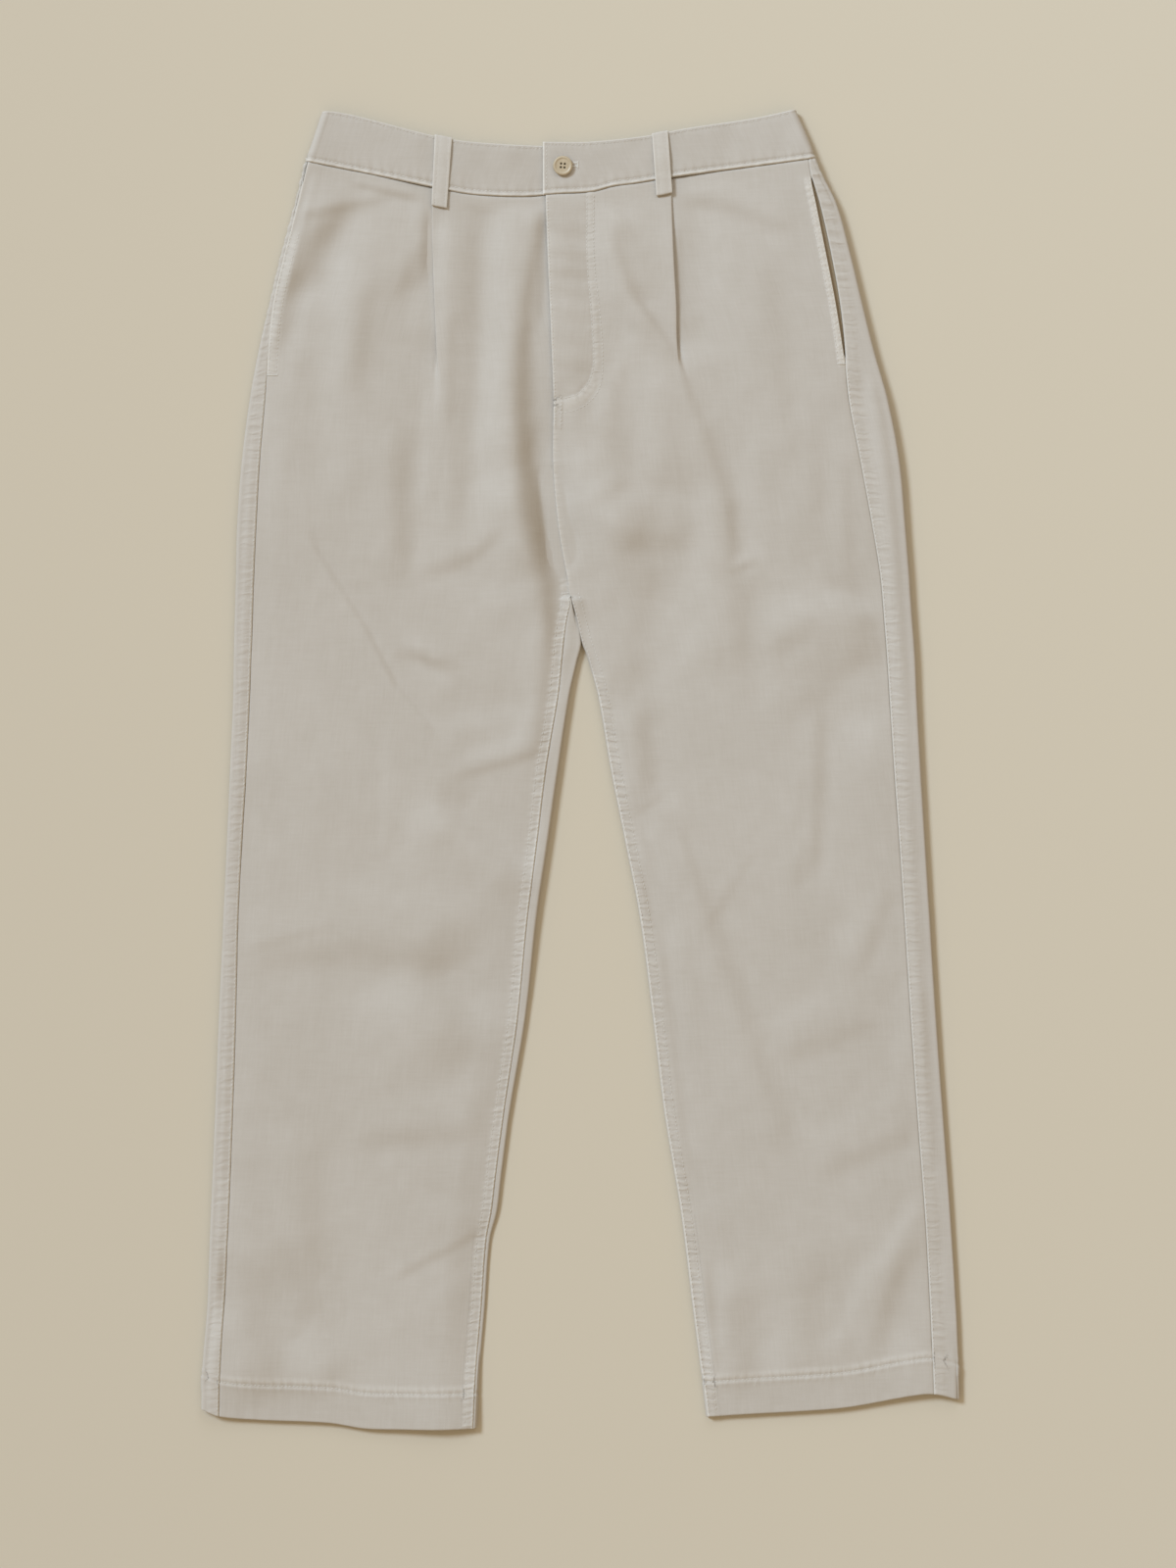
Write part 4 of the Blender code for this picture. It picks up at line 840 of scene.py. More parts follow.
def gathered(*sets):
    """Of several lines of stitching (along, across, strength), the strongest at each place."""
    best = np.stack(np.broadcast_arrays(*sets[0]), axis=-1).astype(float)
    for one in sets[1:]:
        other = np.stack(np.broadcast_arrays(*one), axis=-1)
        best = np.where(other[..., 2:] > best[..., 2:], other, best)
    return best


def close_up(data):
    mesh = bmesh.new()
    mesh.from_mesh(data)
    bmesh.ops.recalc_face_normals(mesh, faces=mesh.faces)
    if mesh.calc_volume(signed=True) < 0:
        bmesh.ops.reverse_faces(mesh, faces=mesh.faces)
    mesh.to_mesh(data)
    mesh.free()


def mesh_from(name, mesh):
    data = bpy.data.meshes.new(name)
    mesh.to_mesh(data)
    mesh.free()
    return data


def placed(name, data):
    made = bpy.data.objects.new(name, data)
    bpy.context.collection.objects.link(made)
    return made


def finished(name, data, material):
    data.materials.append(material)
    data.shade_smooth()
    piece = placed(name, data)
    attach(piece, "root")
    return piece


def rounded(distance, radius):
    """The share of the half thickness near a rounded edge."""
    share = np.clip(distance / radius, 0.0, 1.0)
    return np.sqrt(np.maximum(1 - (1 - share) ** 2, 0.0))


def leg_rows():
    """Shares of a leg's length, close together at the waist, the hem's stitches and its edge."""
    stitched = LEG_LENGTH - HEM_DEPTH
    places = [*WAIST_ROWS, *np.arange(3.2, stitched - 9, ROW_STEP),
              *np.arange(stitched - 8, stitched + 6, 1.0),
              *np.arange(stitched + 7.5, LEG_LENGTH - 3, ROW_STEP),
              *(LEG_LENGTH - gap for gap in HEM_ROWS)]
    return np.array(places) / LEG_LENGTH


def kept_rows(shares):
    """The rows of a leg's inner face."""
    return [1, *range(6, len(shares) - 8, 5), len(shares) - 4]


def waist_tuck(shares):
    """How far down each row goes under the waistband."""
    return WAIST_TUCK * ease((1.4 - shares[:, None] * LEG_LENGTH) / 2.2)


def grain_of(middle, along):
    """Places on the flat cloth: across from the grid's first column, and down."""
    steps = np.linalg.norm(np.diff(middle, axis=1), axis=2)
    across = np.concatenate([np.zeros((len(middle), 1)), np.cumsum(steps, axis=1)], axis=1)
    return np.stack([across - across[:, -1:] / 2, along], axis=-1)


def hem_relief(leg, x, y):
    """The stitched line of the hem between two soft ridges, and its puckers."""
    above = y - leg.hem_edge_at(x) - HEM_DEPTH
    ridges = 0.55 * bell(above - 3.4, 2.2) + 0.3 * bell(above + 2.6, 1.6)
    groove = -0.55 * bell(above, 0.9)
    gather = puckers(leg.seed + 20, above, x, *HEM_PUCKERS) * bell(above, 6.0)
    edge = 0.12 * puckers(leg.seed + 24, above, x, *HEM_EDGE_PUCKERS) * bell(above + 27, 5.0)
    return ridges * (0.8 + 0.3 * ripple(leg.seed + 23, x, 18.0)) + groove + 0.22 * gather + edge


# ==== front panels ====================================================================
def front_edges(leg):
    """The front's outer and inner edges, as x for each y, without what is tucked under."""
    gape = POCKET_MOUTHS[leg.name][2]
    gape = gape * (1 - MOUTH_BACK_SHARE) if gape > 0 else gape

    def outer(y):
        return leg.outer_seam(y) - leg.outward * gape * mouth_share(leg, y)

    def inner(y):
        below = leg.inner_seam(y) + leg.outward * SEAM_GAP / 2
        above = leg.inner_seam(y)
        if leg.name == "right":
            above = above + np.maximum(lap["width"](y), -SEAM_GAP / 2)
        return np.where(y < CROTCH_Y, below, above)

    return outer, inner


def sewn_shut(leg, y):
    """1 where the pocket's mouth is shut, 0 where it is open."""
    return 1 - ease(mouth_share(leg, y) / 0.3)


def pleat_columns(leg, shares):
    """Across the pleat, from its top layer to the cloth beside it: x, y, down."""
    edge, y = leg.settle(shares, lambda y: leg.line("pleat", y))
    depth, turn, arc = leg.pleat_at(edge, y)
    furthest = np.where(turn < np.pi / 2, turned(arc, turn)[0], arc / np.maximum(turn, 0.5))
    start = -furthest - CLOTH / 2
    first_out, first_down = turned(arc, turn)
    columns = [(start + turned(arc * t, turn * t)[0], turned(arc * t, turn * t)[1])
               for t in np.linspace(0, 1, PLEAT_TURN_COLUMNS)]
    end_out, end_down = start + first_out, first_down
    for share in (0.2, 0.4, 0.6, 0.8):
        columns.append((end_out + depth * np.cos(turn) * share,
                        end_down + depth * np.sin(turn) * share))
    end_out, end_down = end_out + depth * np.cos(turn), end_down + depth * np.sin(turn)
    for t in np.linspace(1, 0, PLEAT_TURN_COLUMNS):
        back_out, back_down = turned(arc * t, turn * t)
        columns.append((end_out + first_out - back_out, end_down + first_down - back_down))
    across = []
    for out, down in columns:
        x = edge + leg.outward * out
        across.append((x, leg.row_y(shares, x), down))
    foot = np.maximum(PLEAT_FOOT, columns[-1][0] + PLEAT_FOOT_GAP)
    return edge, across, start, foot


# Columns of points in from a front's edge, and beyond it where it runs on under the back.
EDGE_STEPS = (0.0, 0.15, 0.4, 0.8, 1.4, 2.2, 3.2, 4.3, 5.4, 6.5, 7.6, 8.7, 10.0, 11.6, 13.6)
UNDER_STEPS = (-2.4, -1.5, -0.8, -0.3)
OUTER_COLUMNS = {"right": 62, "left": 44}
INNER_COLUMNS = {"right": 44, "left": 66}
PLEAT_TURN_COLUMNS = 9
FLY_SPREAD = {"right": 1.0, "left": 1.5}  # the columns stand closer by the fly's stitches


def inseam_relief(leg, x, y, inner):
    """The raised band beside the inseam: its relief, its wear with a painted highlight on its
    ridge, and its gathers.
    """
    from_inseam = leg.outward * (x - inner(y))
    below_crotch = ease((INSEAM_TOP[leg.name] - y) / 12.0)
    band = ease(from_inseam / 0.8) * fade(from_inseam - INSEAM_BAND, 1.8)
    ropes = puckers(leg.seed, from_inseam, y, *INSEAM_PUCKERS)
    window = ease(from_inseam / 1.6) * fade(from_inseam - INSEAM_BAND + 1.0, 5.0)
    high, roped, deep = INSEAM_HEIGHTS
    stitched = -deep * bell(from_inseam - INSEAM_BAND, 1.0)
    relief = below_crotch * (high * band + roped * ropes * window + stitched)
    ridge = bell(from_inseam - 0.9, 0.8)
    relief = relief + 0.25 * below_crotch * ridge
    high, roped = INSEAM_WORN
    # The ridge beside the seam gets a painted highlight on top of the band's worn colour.
    crest = below_crotch * (high * band + roped * ropes * window + 0.6 * ridge)
    return relief, crest, (y, from_inseam, 0.8 * below_crotch * window)


def mouth_relief(leg, x, y, outer, relief, crest):
    """Adds the two stitched rows beside the pocket's mouth, and the seam below it."""
    top, bottom = MOUTH_SEWN[leg.name]
    near_row, far_row = MOUTH_ROWS[leg.name]
    proud = MOUTH_PROUD[leg.name]
    from_mouth = leg.outward * (outer(y) - x)
    mouth = ease((top + 4 - y) / 12) * ease((y - bottom + 4) / 6)
    pocket = mouth * fade(from_mouth - far_row + 0.2, 1.6)
    ropes = puckers(leg.seed + 5, from_mouth, y, *MOUTH_PUCKERS)
    window = mouth * ease(from_mouth / 1.4) * fade(from_mouth - far_row + 0.7, 4.0)
    lines = bell(from_mouth - near_row, 0.7) + bell(from_mouth - far_row, 0.8)
    high, roped, deep = MOUTH_HEIGHTS
    relief = relief + high * proud * pocket + roped * ropes * window - deep * mouth * lines
    high, roped = MOUTH_WORN
    crest = crest + high * proud * pocket + roped * ropes * window
    side = ease((bottom - 6 - y) / 8) * bell(from_mouth, 2.0)
    return relief - 0.15 * side, crest, (y, from_mouth, 0.45 * window)


def fly_relief(leg, x, y, relief, crest):
    """Adds the fly's curved stitching, its puckers and its front edge, painted paler as wear and as
    a highlight.
    """
    away, along = near_path(FLY_STITCH, x, y)
    foot = fade(y - FLY_FOOT, 14.0)
    wider = FLY_FOOT_GAP * foot
    between = ease((away + 0.8) / 1.6) * fade(away - 5.6 - wider, 1.4)
    ropes = puckers(leg.seed + 9, away, along, *FLY_PUCKERS)
    window = bell(away - 3.0, 5.0)
    lines = bell(away, 1.0) + 0.7 * bell(away - FLY_ROW_GAP - wider, 0.9)
    high, roped, deep = FLY_HEIGHTS
    relief = relief + high * between + roped * ropes * window - (deep + 0.3 * foot) * lines
    relief = relief + 0.12 * foot * bell(away - 1.8, 1.2)
    high, roped = FLY_WORN
    crest = crest + (high + 0.12 * foot) * between + roped * ropes * window
    on_fly = ease((x + 34.0) / 6) * fade(x - 2.0, 8.0) * ease((y - FLY_FOOT) / 14)
    relief = relief + 0.30 * on_fly * puckers(leg.seed + 15, x + 10.0, y, *OVER_FLY_PUCKERS)
    from_fly = x - leg.line("inseam", y)
    fly = ease((y - CROTCH_Y) / 20)
    sewn_twice = ease((y - FLY_DOUBLE[0]) / 4) * fade(y - FLY_DOUBLE[1], 5.0)
    relief = relief + 0.3 * sewn_twice * (bell(from_fly - 1.7, 1.0) + bell(from_fly - 6.2, 1.0))
    edge = puckers(leg.seed + 13, from_fly, y, *FLY_EDGE_PUCKERS)
    relief = relief + fly * (0.1 * edge * bell(from_fly, 9.0))
    # The fly's folded edge is painted paler: worn colour and a painted highlight where the edge
    # faces the light.
    crest = crest + fly * 0.42 * bell(from_fly, 2.4)
    return relief, crest, ((along, away, 0.6 * bell(away - 2.6, 3.6)),
                           (y, from_fly, fly * 0.5 * bell(from_fly, 4.0)))


def front_relief(leg, x, y, outer, inner):
    """What the stitching draws on the front: raised edges, grooves and puckers."""
    relief, crest, inseam = inseam_relief(leg, x, y, inner)
    relief = relief + hem_relief(leg, x, y)
    above = y - leg.hem_edge_at(x) - HEM_DEPTH
    crest = crest + 0.25 * bell(above - 3, 3.0)
    relief, crest, mouth = mouth_relief(leg, x, y, outer, relief, crest)
    sewn = [inseam, (x, above, 0.5 * bell(above, 5.0)), mouth]
    if leg.name == "left":
        relief, crest, fly = fly_relief(leg, x, y, relief, crest)
        sewn += fly
    high, *sizes = FRONT_CLOUD
    relief = relief + high * cloud(leg.seed + 30, x, y, *sizes)
    return relief, np.clip(crest, -1, 1.2), gathered(*sewn)


def build_front(leg, material):
    shares = leg_rows()
    outer, inner = front_edges(leg)
    edge, pleat, start, foot = pleat_columns(leg, shares)
    xs, ys, zs = [], [], []

    def add(x_at, lift=None):
        x, y = leg.settle(shares, x_at)
        xs.append(x)
        ys.append(y)
        z = front_height(leg, x, y)
        from_mouth = leg.outward * (outer(y) - x)
        z = z + MOUTH_LIFT[leg.name] * mouth_share(leg, y) * fade(from_mouth, MOUTH_LIFT_REACH)
        zs.append(z if lift is None else z + lift(y))

    for step in (*UNDER_STEPS, *EDGE_STEPS):
        add(lambda y: outer(y) - leg.outward * step * (sewn_shut(leg, y) if step < 0 else 1),
            lambda y: -TUCK_DROP * ease((0.9 - step) / 1.7) * sewn_shut(leg, y))
    for share in np.linspace(0, 1, OUTER_COLUMNS[leg.name])[1:]:
        add(lambda y: mix(outer(y) - leg.outward * EDGE_STEPS[-1],
                          leg.line("pleat", y) + leg.outward * foot, share))
    foot_z, foot_x = zs[-1], xs[-1]
    end_x, end_y, end_down = pleat[-1]
    end_z = top_height(leg, end_x, end_y) + lap_shift(leg, end_x, end_y) - end_down
    for share in (0.3, 0.6, 0.85):
        x = mix(foot_x, end_x, share)
        xs.append(x)
        ys.append(leg.row_y(shares, x))
        zs.append(mix(foot_z, end_z, share))
    for x, y, down in reversed(pleat):
        xs.append(x)
        ys.append(y)
        zs.append(top_height(leg, x, y) + lap_shift(leg, x, y) - down)
    pleat_first = len(xs) - len(pleat) - 3
    pleat_last = len(xs)
    for share in np.linspace(0, 1, INNER_COLUMNS[leg.name])[1:]:
        share = 1 - (1 - share) ** FLY_SPREAD[leg.name]
        add(lambda y: mix(leg.line("pleat", y) + leg.outward * start,
                          inner(y) + leg.outward * EDGE_STEPS[-1], share))
    for step in reversed(EDGE_STEPS[:-1]):
        add(lambda y: inner(y) + leg.outward * step)
    x, y, z = (np.stack(columns, axis=1) for columns in (xs, ys, zs))
    middle = np.stack([x, y, z - waist_tuck(shares)], axis=-1)
    relief, wear, gathers = front_relief(leg, x, y, outer, inner)
    under_pleat = np.zeros(x.shape[1])
    under_pleat[pleat_first:pleat_last - 5] = 1.0
    folded = ease(leg.pleat_at(edge, leg.row_y(shares, edge))[1] / 0.9 - 0.4)
    under_pleat = folded[:, None] * under_pleat[None, :]
    relief = relief * (1 - under_pleat)
    gathers[:, :, 2] *= 1 - under_pleat
    edge_gap = np.minimum(leg.outward * (x - inner(y)), (1 - shares[:, None]) * LEG_LENGTH)
    mouth_gap = leg.outward * (outer(y) - x)
    edge_gap = np.where(mouth_share(leg, y) > 0.05, np.minimum(edge_gap, mouth_gap), edge_gap)
    half = leg.wall_at(y, x) / 2
    half = half - (half - PLEAT_HALF) * under_pleat
    taper = rounded(edge_gap, half)
    relief = relief * ease(edge_gap / EDGE_FADE)
    wear = wear + 0.8 * bell(mouth_gap, 1.2) * (mouth_share(leg, y) > 0.05)
    keep_columns = [1, *range(4, pleat_first, 4), *range(pleat_first, pleat_last),
                    *range(pleat_last + 3, x.shape[1] - 3, 4), x.shape[1] - 4]
    return cloth_mesh(f"front_{leg.name}_cloth", -leg.outward, middle, half * taper, relief, wear,
                      gathers, grain_of(middle, y), kept_rows(shares), keep_columns, material)


# ==== back panels =====================================================================
# Down to the first share of a leg's length its inner edge lies flat, at the centre back
# seam. By the second it has rolled up. FLAT_LENGTH is the cloth that turns.
ROLL_OPENING = (0.3225, 0.3275)
FLAT_LENGTH = 3.25
# Columns of points across a back, from its outseam around the outer edge to the inseam.
STRIP_GAPS = (0.0, 0.12, 0.35, 0.7)
STRIP_COLUMNS = 14
ARC_COLUMNS = 14
UNDER_COLUMNS = 26
INNER_ARC = 12
INNER_STRIP = 8
UNDERCUT = {"right": 1.5, "left": 2.2}  # more than 1 lifts the outer roll's furthest point
UNDERCUT_FROM, UNDERCUT_OVER = 2.4, 2.4  # a roll's height where undercuts start and grow
SINK = 1.7              # the left leg's inner roll goes in under its front's edge
SINK_AT_CROTCH = 0.45   # and by this share of it above y = 112


def rolled_edge(leg, shares, fold, roll, inward, angles, undercut):
    """A leg's rolled edge, from above to below or back."""
    made = []
    for angle in angles:
        def x_at(y):
            half = leg.half_wall(y)
            radius = (roll(y) - half) / 2
            return leg.line(fold, y) + inward * (half + radius * (1 - math.sin(angle)))
        x, y = leg.settle(shares, x_at)
        half = leg.half_wall(y)
        radius = (roll(y) - half) / 2
        power = mix(1.0, undercut, np.clip((roll(y) - UNDERCUT_FROM) / UNDERCUT_OVER, 0, 1))
        fallen = ((1 - math.cos(angle)) / 2) ** power
        made.append(np.stack([x, y, half + 2 * radius * (1 - fallen)], axis=-1))
    return made


def inner_side(leg, shares, top_point):
    """From the floor around the leg's inner edge, and on to the inseam."""
    angles = np.linspace(np.pi, 0, INNER_ARC)
    rolled = rolled_edge(leg, shares, "inner_fold", leg.inner_roll, leg.outward, angles,
                         1.0 if leg.wraps else 2.0)
    if leg.wraps:
        for point, angle in zip(rolled, angles):
            sink = SINK * float(ease((np.pi / 2 + 0.25 - angle) / 0.5))
            sink = sink * mix(SINK_AT_CROTCH, 1.0, ease((112.0 - point[:, 1:2]) / 16.0))
            point += sink * np.array([leg.outward * math.sin(angle), 0.0, -math.cos(angle)])
        for _ in range(INNER_STRIP + 3):
            point = rolled[-1].copy()
            point[:, 0] += leg.outward * 0.5
            rolled.append(point)
    else:
        for column in range(1, INNER_STRIP + 1):
            rolled.append(top_point(lambda y: mix(
                leg.line("inner_fold", y) + leg.outward * leg.roll_inset(leg.inner_roll(y), y),
                leg.inner_seam(y), column / INNER_STRIP)))
        for under in (0.6, 1.3, 2.2):
            rolled.append(top_point(lambda y: leg.inner_seam(y) + leg.outward * under,
                                    -TUCK_DROP * ease((under + 0.5) / 1.6)))
        rolled[-4][:, 2] -= TUCK_DROP * 0.25
    opened = np.clip((shares - ROLL_OPENING[0]) / (ROLL_OPENING[1] - ROLL_OPENING[0]), 0, 1)
    turn = np.maximum(np.pi * opened, 1e-3)
    radius = FLAT_LENGTH / turn
    reach = (radius + CLOTH / 2) * np.sin(np.minimum(turn, np.pi / 2)) + SEAM_GAP / 2
    for step in range(len(rolled)):
        angle = turn * step / (len(rolled) - 1)
        x, y = leg.settle(shares, lambda y: leg.line("inner_fold", y)
                          + leg.outward * (reach - radius * np.sin(angle)))
        opening = np.stack([x, y, CLOTH / 2 + radius * (1 - np.cos(angle))], axis=-1)
        rolled[step] = np.where((opened < 1.0)[:, None], opening, rolled[step])
    return rolled


def build_back(leg, material):
    shares = leg_rows()
    inward = -leg.outward

    def top_point(x_at, lift=0.0):
        x, y = leg.settle(shares, x_at)
        return np.stack([x, y, top_height(leg, x, y) + lift], axis=-1)

    def outer_top(y):
        return leg.line("outer_fold", y) + inward * leg.roll_inset(leg.outer_roll(y), y)

    def outer_edge(y):
        gape = MOUTH_BACK_SHARE * max(POCKET_MOUTHS[leg.name][2], 0.0)
        return leg.outer_seam(y) + leg.outward * (SEAM_GAP / 3 + gape * mouth_share(leg, y))

    points = [top_point(lambda y: outer_edge(y) + leg.outward * gap) for gap in STRIP_GAPS]
    for column in range(1, STRIP_COLUMNS + 1):
        points.append(top_point(lambda y: mix(outer_edge(y) + leg.outward * STRIP_GAPS[-1],
                                              outer_top(y), column / STRIP_COLUMNS)))
    points += rolled_edge(leg, shares, "outer_fold", leg.outer_roll, inward,
                          np.linspace(0, np.pi, ARC_COLUMNS)[1:], UNDERCUT[leg.name])
    under_start = points[-1]
    rolled = inner_side(leg, shares, top_point)
    for column in range(1, UNDER_COLUMNS):
        x = mix(under_start[:, 0], rolled[0][:, 0], column / UNDER_COLUMNS)
        y = leg.row_y(shares, x)
        points.append(np.stack([x, y, leg.wall_at(y, x) / 2], axis=-1))
    points += rolled
    middle = np.stack(points, axis=1)
    x, y, z = middle[:, :, 0], middle[:, :, 1], middle[:, :, 2]
    middle[:, :, 2] = z - np.where(z > 2.5, waist_tuck(shares), 0)
    raised = np.where(z > 2.0, 1.0, 0.0)
    top_side = np.zeros(x.shape)
    strip_last = len(STRIP_GAPS) + STRIP_COLUMNS
    top_side[:, :strip_last + ARC_COLUMNS // 2] = 1.0
    from_seam = leg.outward * (x - outer_edge(y))
    bend = np.concatenate([np.zeros(strip_last), np.linspace(0, 9, ARC_COLUMNS)[1:]])
    from_seam[:, :len(bend)] = from_seam[:, :len(bend)] + bend
    top_side[:, len(bend):] = 0.0
    band = ease((from_seam + 0.4) / 0.8) * fade(from_seam - SIDE_BAND, 2.2)
    ropes = puckers(leg.seed + 40, from_seam, y, *SIDE_PUCKERS)
    window = ease(from_seam / 2.0) * fade(from_seam - SIDE_BAND + 1, 7.0)
    creased = ease((y - 330.0) / 60.0) * ease(from_seam / 2.0) * fade(from_seam - 7.0, 8.0)
    creased = creased * puckers(leg.seed + 44, from_seam, y, *SIDE_CREASES) * 0.5
    ridge = SEAM_RIDGE[leg.name] * ease((300.0 - y) / 60.0)
    high, roped, deep = SIDE_HEIGHTS
    relief = top_side * (high * band + roped * ropes * window + creased
                         + ridge * bell(from_seam - 0.8, 0.8)
                         - deep * bell(from_seam - SIDE_BAND, 1.1))
    high, roped = SIDE_WORN
    # The seam's ridge and edge are painted paler: a painted highlight, stronger where the ridge
    # stands higher, with the band's worn colour.
    wear = top_side * (high * band + roped * ropes * window
                       + (0.6 + 1.6 * ridge) * bell(from_seam, 0.9))
    relief = relief + hem_relief(leg, x, y) * raised * 0.8
    high, *sizes = BACK_CLOUD
    relief = relief + high * cloud(leg.seed + 50, x, y, *sizes) * raised
    from_hem = (1 - shares[:, None]) * LEG_LENGTH
    edge_gap = np.where(top_side > 0, np.minimum(np.abs(from_seam), from_hem), from_hem)
    half = leg.wall_at(y, x) / 2
    taper = rounded(edge_gap, half)
    relief = relief * ease(edge_gap / EDGE_FADE)
    keep_columns = [2, 5, *range(8, x.shape[1] - 3, 3), x.shape[1] - 2]
    hem = y - leg.hem_edge_at(x) - HEM_DEPTH
    gathers = gathered((y, from_seam, 0.55 * top_side * window),
                       (x, hem, 0.5 * bell(hem, 5.0)))
    return cloth_mesh(f"back_{leg.name}_cloth", leg.outward, middle, half * taper, relief, wear,
                      gathers, grain_of(middle, y), kept_rows(shares), keep_columns, material)


# ==== waistband =======================================================================
BAND_DEPTH = 38.0
# Rows in from its lower edge (and the first ones from its top), and columns from its end.
BAND_STEPS = (0.0, 0.12, 0.35, 0.7, 1.1, 1.6, 2.1, 2.6, 3.1, 3.6, 4.2, 5.0, 6.2, 7.6, 9.2)
BAND_TOP_STEPS = 8
BAND_MIDDLE = 10
BAND_END_STEPS = (0.0, 0.12, 0.35, 0.7, 1.2, 1.9, 2.7)
BAND_FRONT_COLUMNS = 170
BAND_BACK_COLUMNS = 24
BAND_ARC = 12


def band_y(leg, x, up):
    """up runs from the band's lower edge, 0, to its top, 1, with fixed steps near each edge."""
    return mix(waist_seam(x) - 0.1, waist_tops[leg.name](x), up)


def build_waistband(leg, material):
    lower = [step / BAND_DEPTH for step in BAND_STEPS]
    upper = [1 - step / BAND_DEPTH for step in reversed(BAND_STEPS[:BAND_TOP_STEPS])]
    ups = lower + [mix(lower[-1], upper[0], k / BAND_MIDDLE) for k in range(1, BAND_MIDDLE)] + upper
    rows = []
    inward = -leg.outward
    end, back_end = BAND_ENDS[leg.name], CENTRE_BACK_X + leg.outward * SEAM_GAP / 2
    edge = [end + leg.outward * step for step in BAND_END_STEPS]
    angles = np.linspace(0, np.pi, BAND_ARC)
    for up in ups:
        side = mix(*BAND_SIDES[leg.name], up)
        radius = (float(leg.band_height(side)) - BAND_CLOTH / 2) / 2
        roll_x = side + inward * (radius + BAND_CLOTH / 2)
        x = np.array(edge + [mix(edge[-1], roll_x, k / BAND_FRONT_COLUMNS)
                             for k in range(1, BAND_FRONT_COLUMNS)])
        under = np.linspace(roll_x, back_end, BAND_BACK_COLUMNS)[1:]
        z = np.concatenate([leg.band_height(x), BAND_CLOTH / 2 + radius * (1 + np.cos(angles)),
                            np.full(len(under), BAND_CLOTH / 2)])
        x = np.concatenate([x, roll_x + leg.outward * radius * np.sin(angles), under])
        rows.append(np.stack([x, band_y(leg, x, up), z], axis=-1))
    middle = np.stack(rows)
    x, y, z = middle[:, :, 0], middle[:, :, 1], middle[:, :, 2]
    shown = np.zeros(x.shape)
    shown[:, :len(edge) + BAND_FRONT_COLUMNS + BAND_ARC // 2] = 1.0
    low = y - band_y(leg, x, 0.0)
    high = band_y(leg, x, 1.0) - y
    from_end = np.abs(x - end)
    roll = 0.55 * bell(low - 1.4, 1.0)
    roll = roll * (0.8 + 0.3 * ripple(leg.seed + 60, x, 16.0)
                   + 0.25 * ripple(leg.seed + 61, x, 5.0))
    groove = -0.5 * bell(low - 4.0, 0.9) - 0.22 * bell(high - 2.4, 0.8)
    lower_puckers = puckers(leg.seed + 62, low, x, *BAND_LOW_PUCKERS) * bell(low - 4.5, 6.0)
    upper_puckers = puckers(leg.seed + 66, high, x, *BAND_TOP_PUCKERS) * bell(high - 2.4, 3.0)
    height, *sizes = BAND_CLOUD
    soft = height * cloud(leg.seed + 70, x, y, *sizes) * ease(low / 9) * ease(high / 6)
    relief = roll + groove + 0.3 * lower_puckers + 0.12 * upper_puckers + soft
    # The roll along the band's lower edge is painted paler: partly worn colour, partly a painted
    # highlight where the roll catches the light.
    roll_wear_and_highlight = 0.7 + 0.4 * ripple(leg.seed + 75, x, 11.0)
    wear = roll_wear_and_highlight * bell(low - 1.4, 0.95) + 0.5 * bell(high, 1.2)
    wear = 0.95 * wear + 0.1 * lower_puckers
    if leg.name == "left":
        relief = relief - 0.3 * bell(from_end - 3.0, 0.8)
        # The band's front end is painted paler: worn colour and a painted highlight on its edge,
        # which faces the light.
        wear = wear + 1.1 * bell(from_end, 1.4)
        from_button = np.hypot(x - BUTTON_CENTRE[0], y - BUTTON_CENTRE[1])
        relief = relief - 0.5 * bell(from_button, 11.0)
        relief = relief + 0.25 * bell(from_button - 15.0, 5.0)
    relief = relief * shown
    wear = np.clip(wear * shown, -1, 1.3)
    edge_gap = np.minimum(np.minimum(low, high), from_end * shown + 9 * (1 - shown))
    taper = rounded(edge_gap, BAND_CLOTH / 2)
    relief = relief * ease(edge_gap / EDGE_FADE)
    half = np.full(x.shape, BAND_CLOTH / 2)
    keep_columns = [3, *range(8, x.shape[1] - 3, 3), x.shape[1] - 1]
    keep_rows = [3, 6, *range(10, len(ups) - 6, 3), len(ups) - 4]
    gathers = gathered((x, low, 0.35 * shown * bell(low - 4.0, 3.6)),
                       (x, high, 0.3 * shown * bell(high - 2.4, 2.4)))
    return cloth_mesh(f"waistband_{leg.name}_cloth", inward, middle, half * taper, relief, wear,
                      gathers, grain_of(middle, y), keep_rows, keep_columns, material)


# ==== pocket facings ==================================================================
def build_pocket_facing(leg, material):
    top, bottom = MOUTH_SEWN[leg.name]
    y = np.linspace(top + FACING_END, bottom - FACING_END, FACING_ROWS)[:, None]
    y = y * np.ones((1, FACING_COLUMNS))
    start = leg.outer_seam(y) - leg.outward * FACING_UNDER_FRONT
    end = leg.outer_seam(y) + leg.outward * FACING_UNDER_BACK[leg.name]
    x = mix(start, end, np.linspace(0, 1, FACING_COLUMNS)[None, :])
    z = np.minimum(top_height(leg, x, y), front_height(leg, x, y)) - FACING_DROP
    middle = np.stack([x, y, np.maximum(z, FACING_LOWEST)], axis=-1)
    flat = np.zeros(x.shape)
    half = np.full(x.shape, FACING_CLOTH / 2)
    keep_rows = [*range(0, FACING_ROWS, 4), FACING_ROWS - 1]
    return cloth_mesh(f"pocket_facing_{leg.name}_cloth", leg.outward, middle, half, flat, flat,
                      np.zeros(middle.shape), grain_of(middle, y), keep_rows,
                      list(range(0, FACING_COLUMNS, 3)), material)


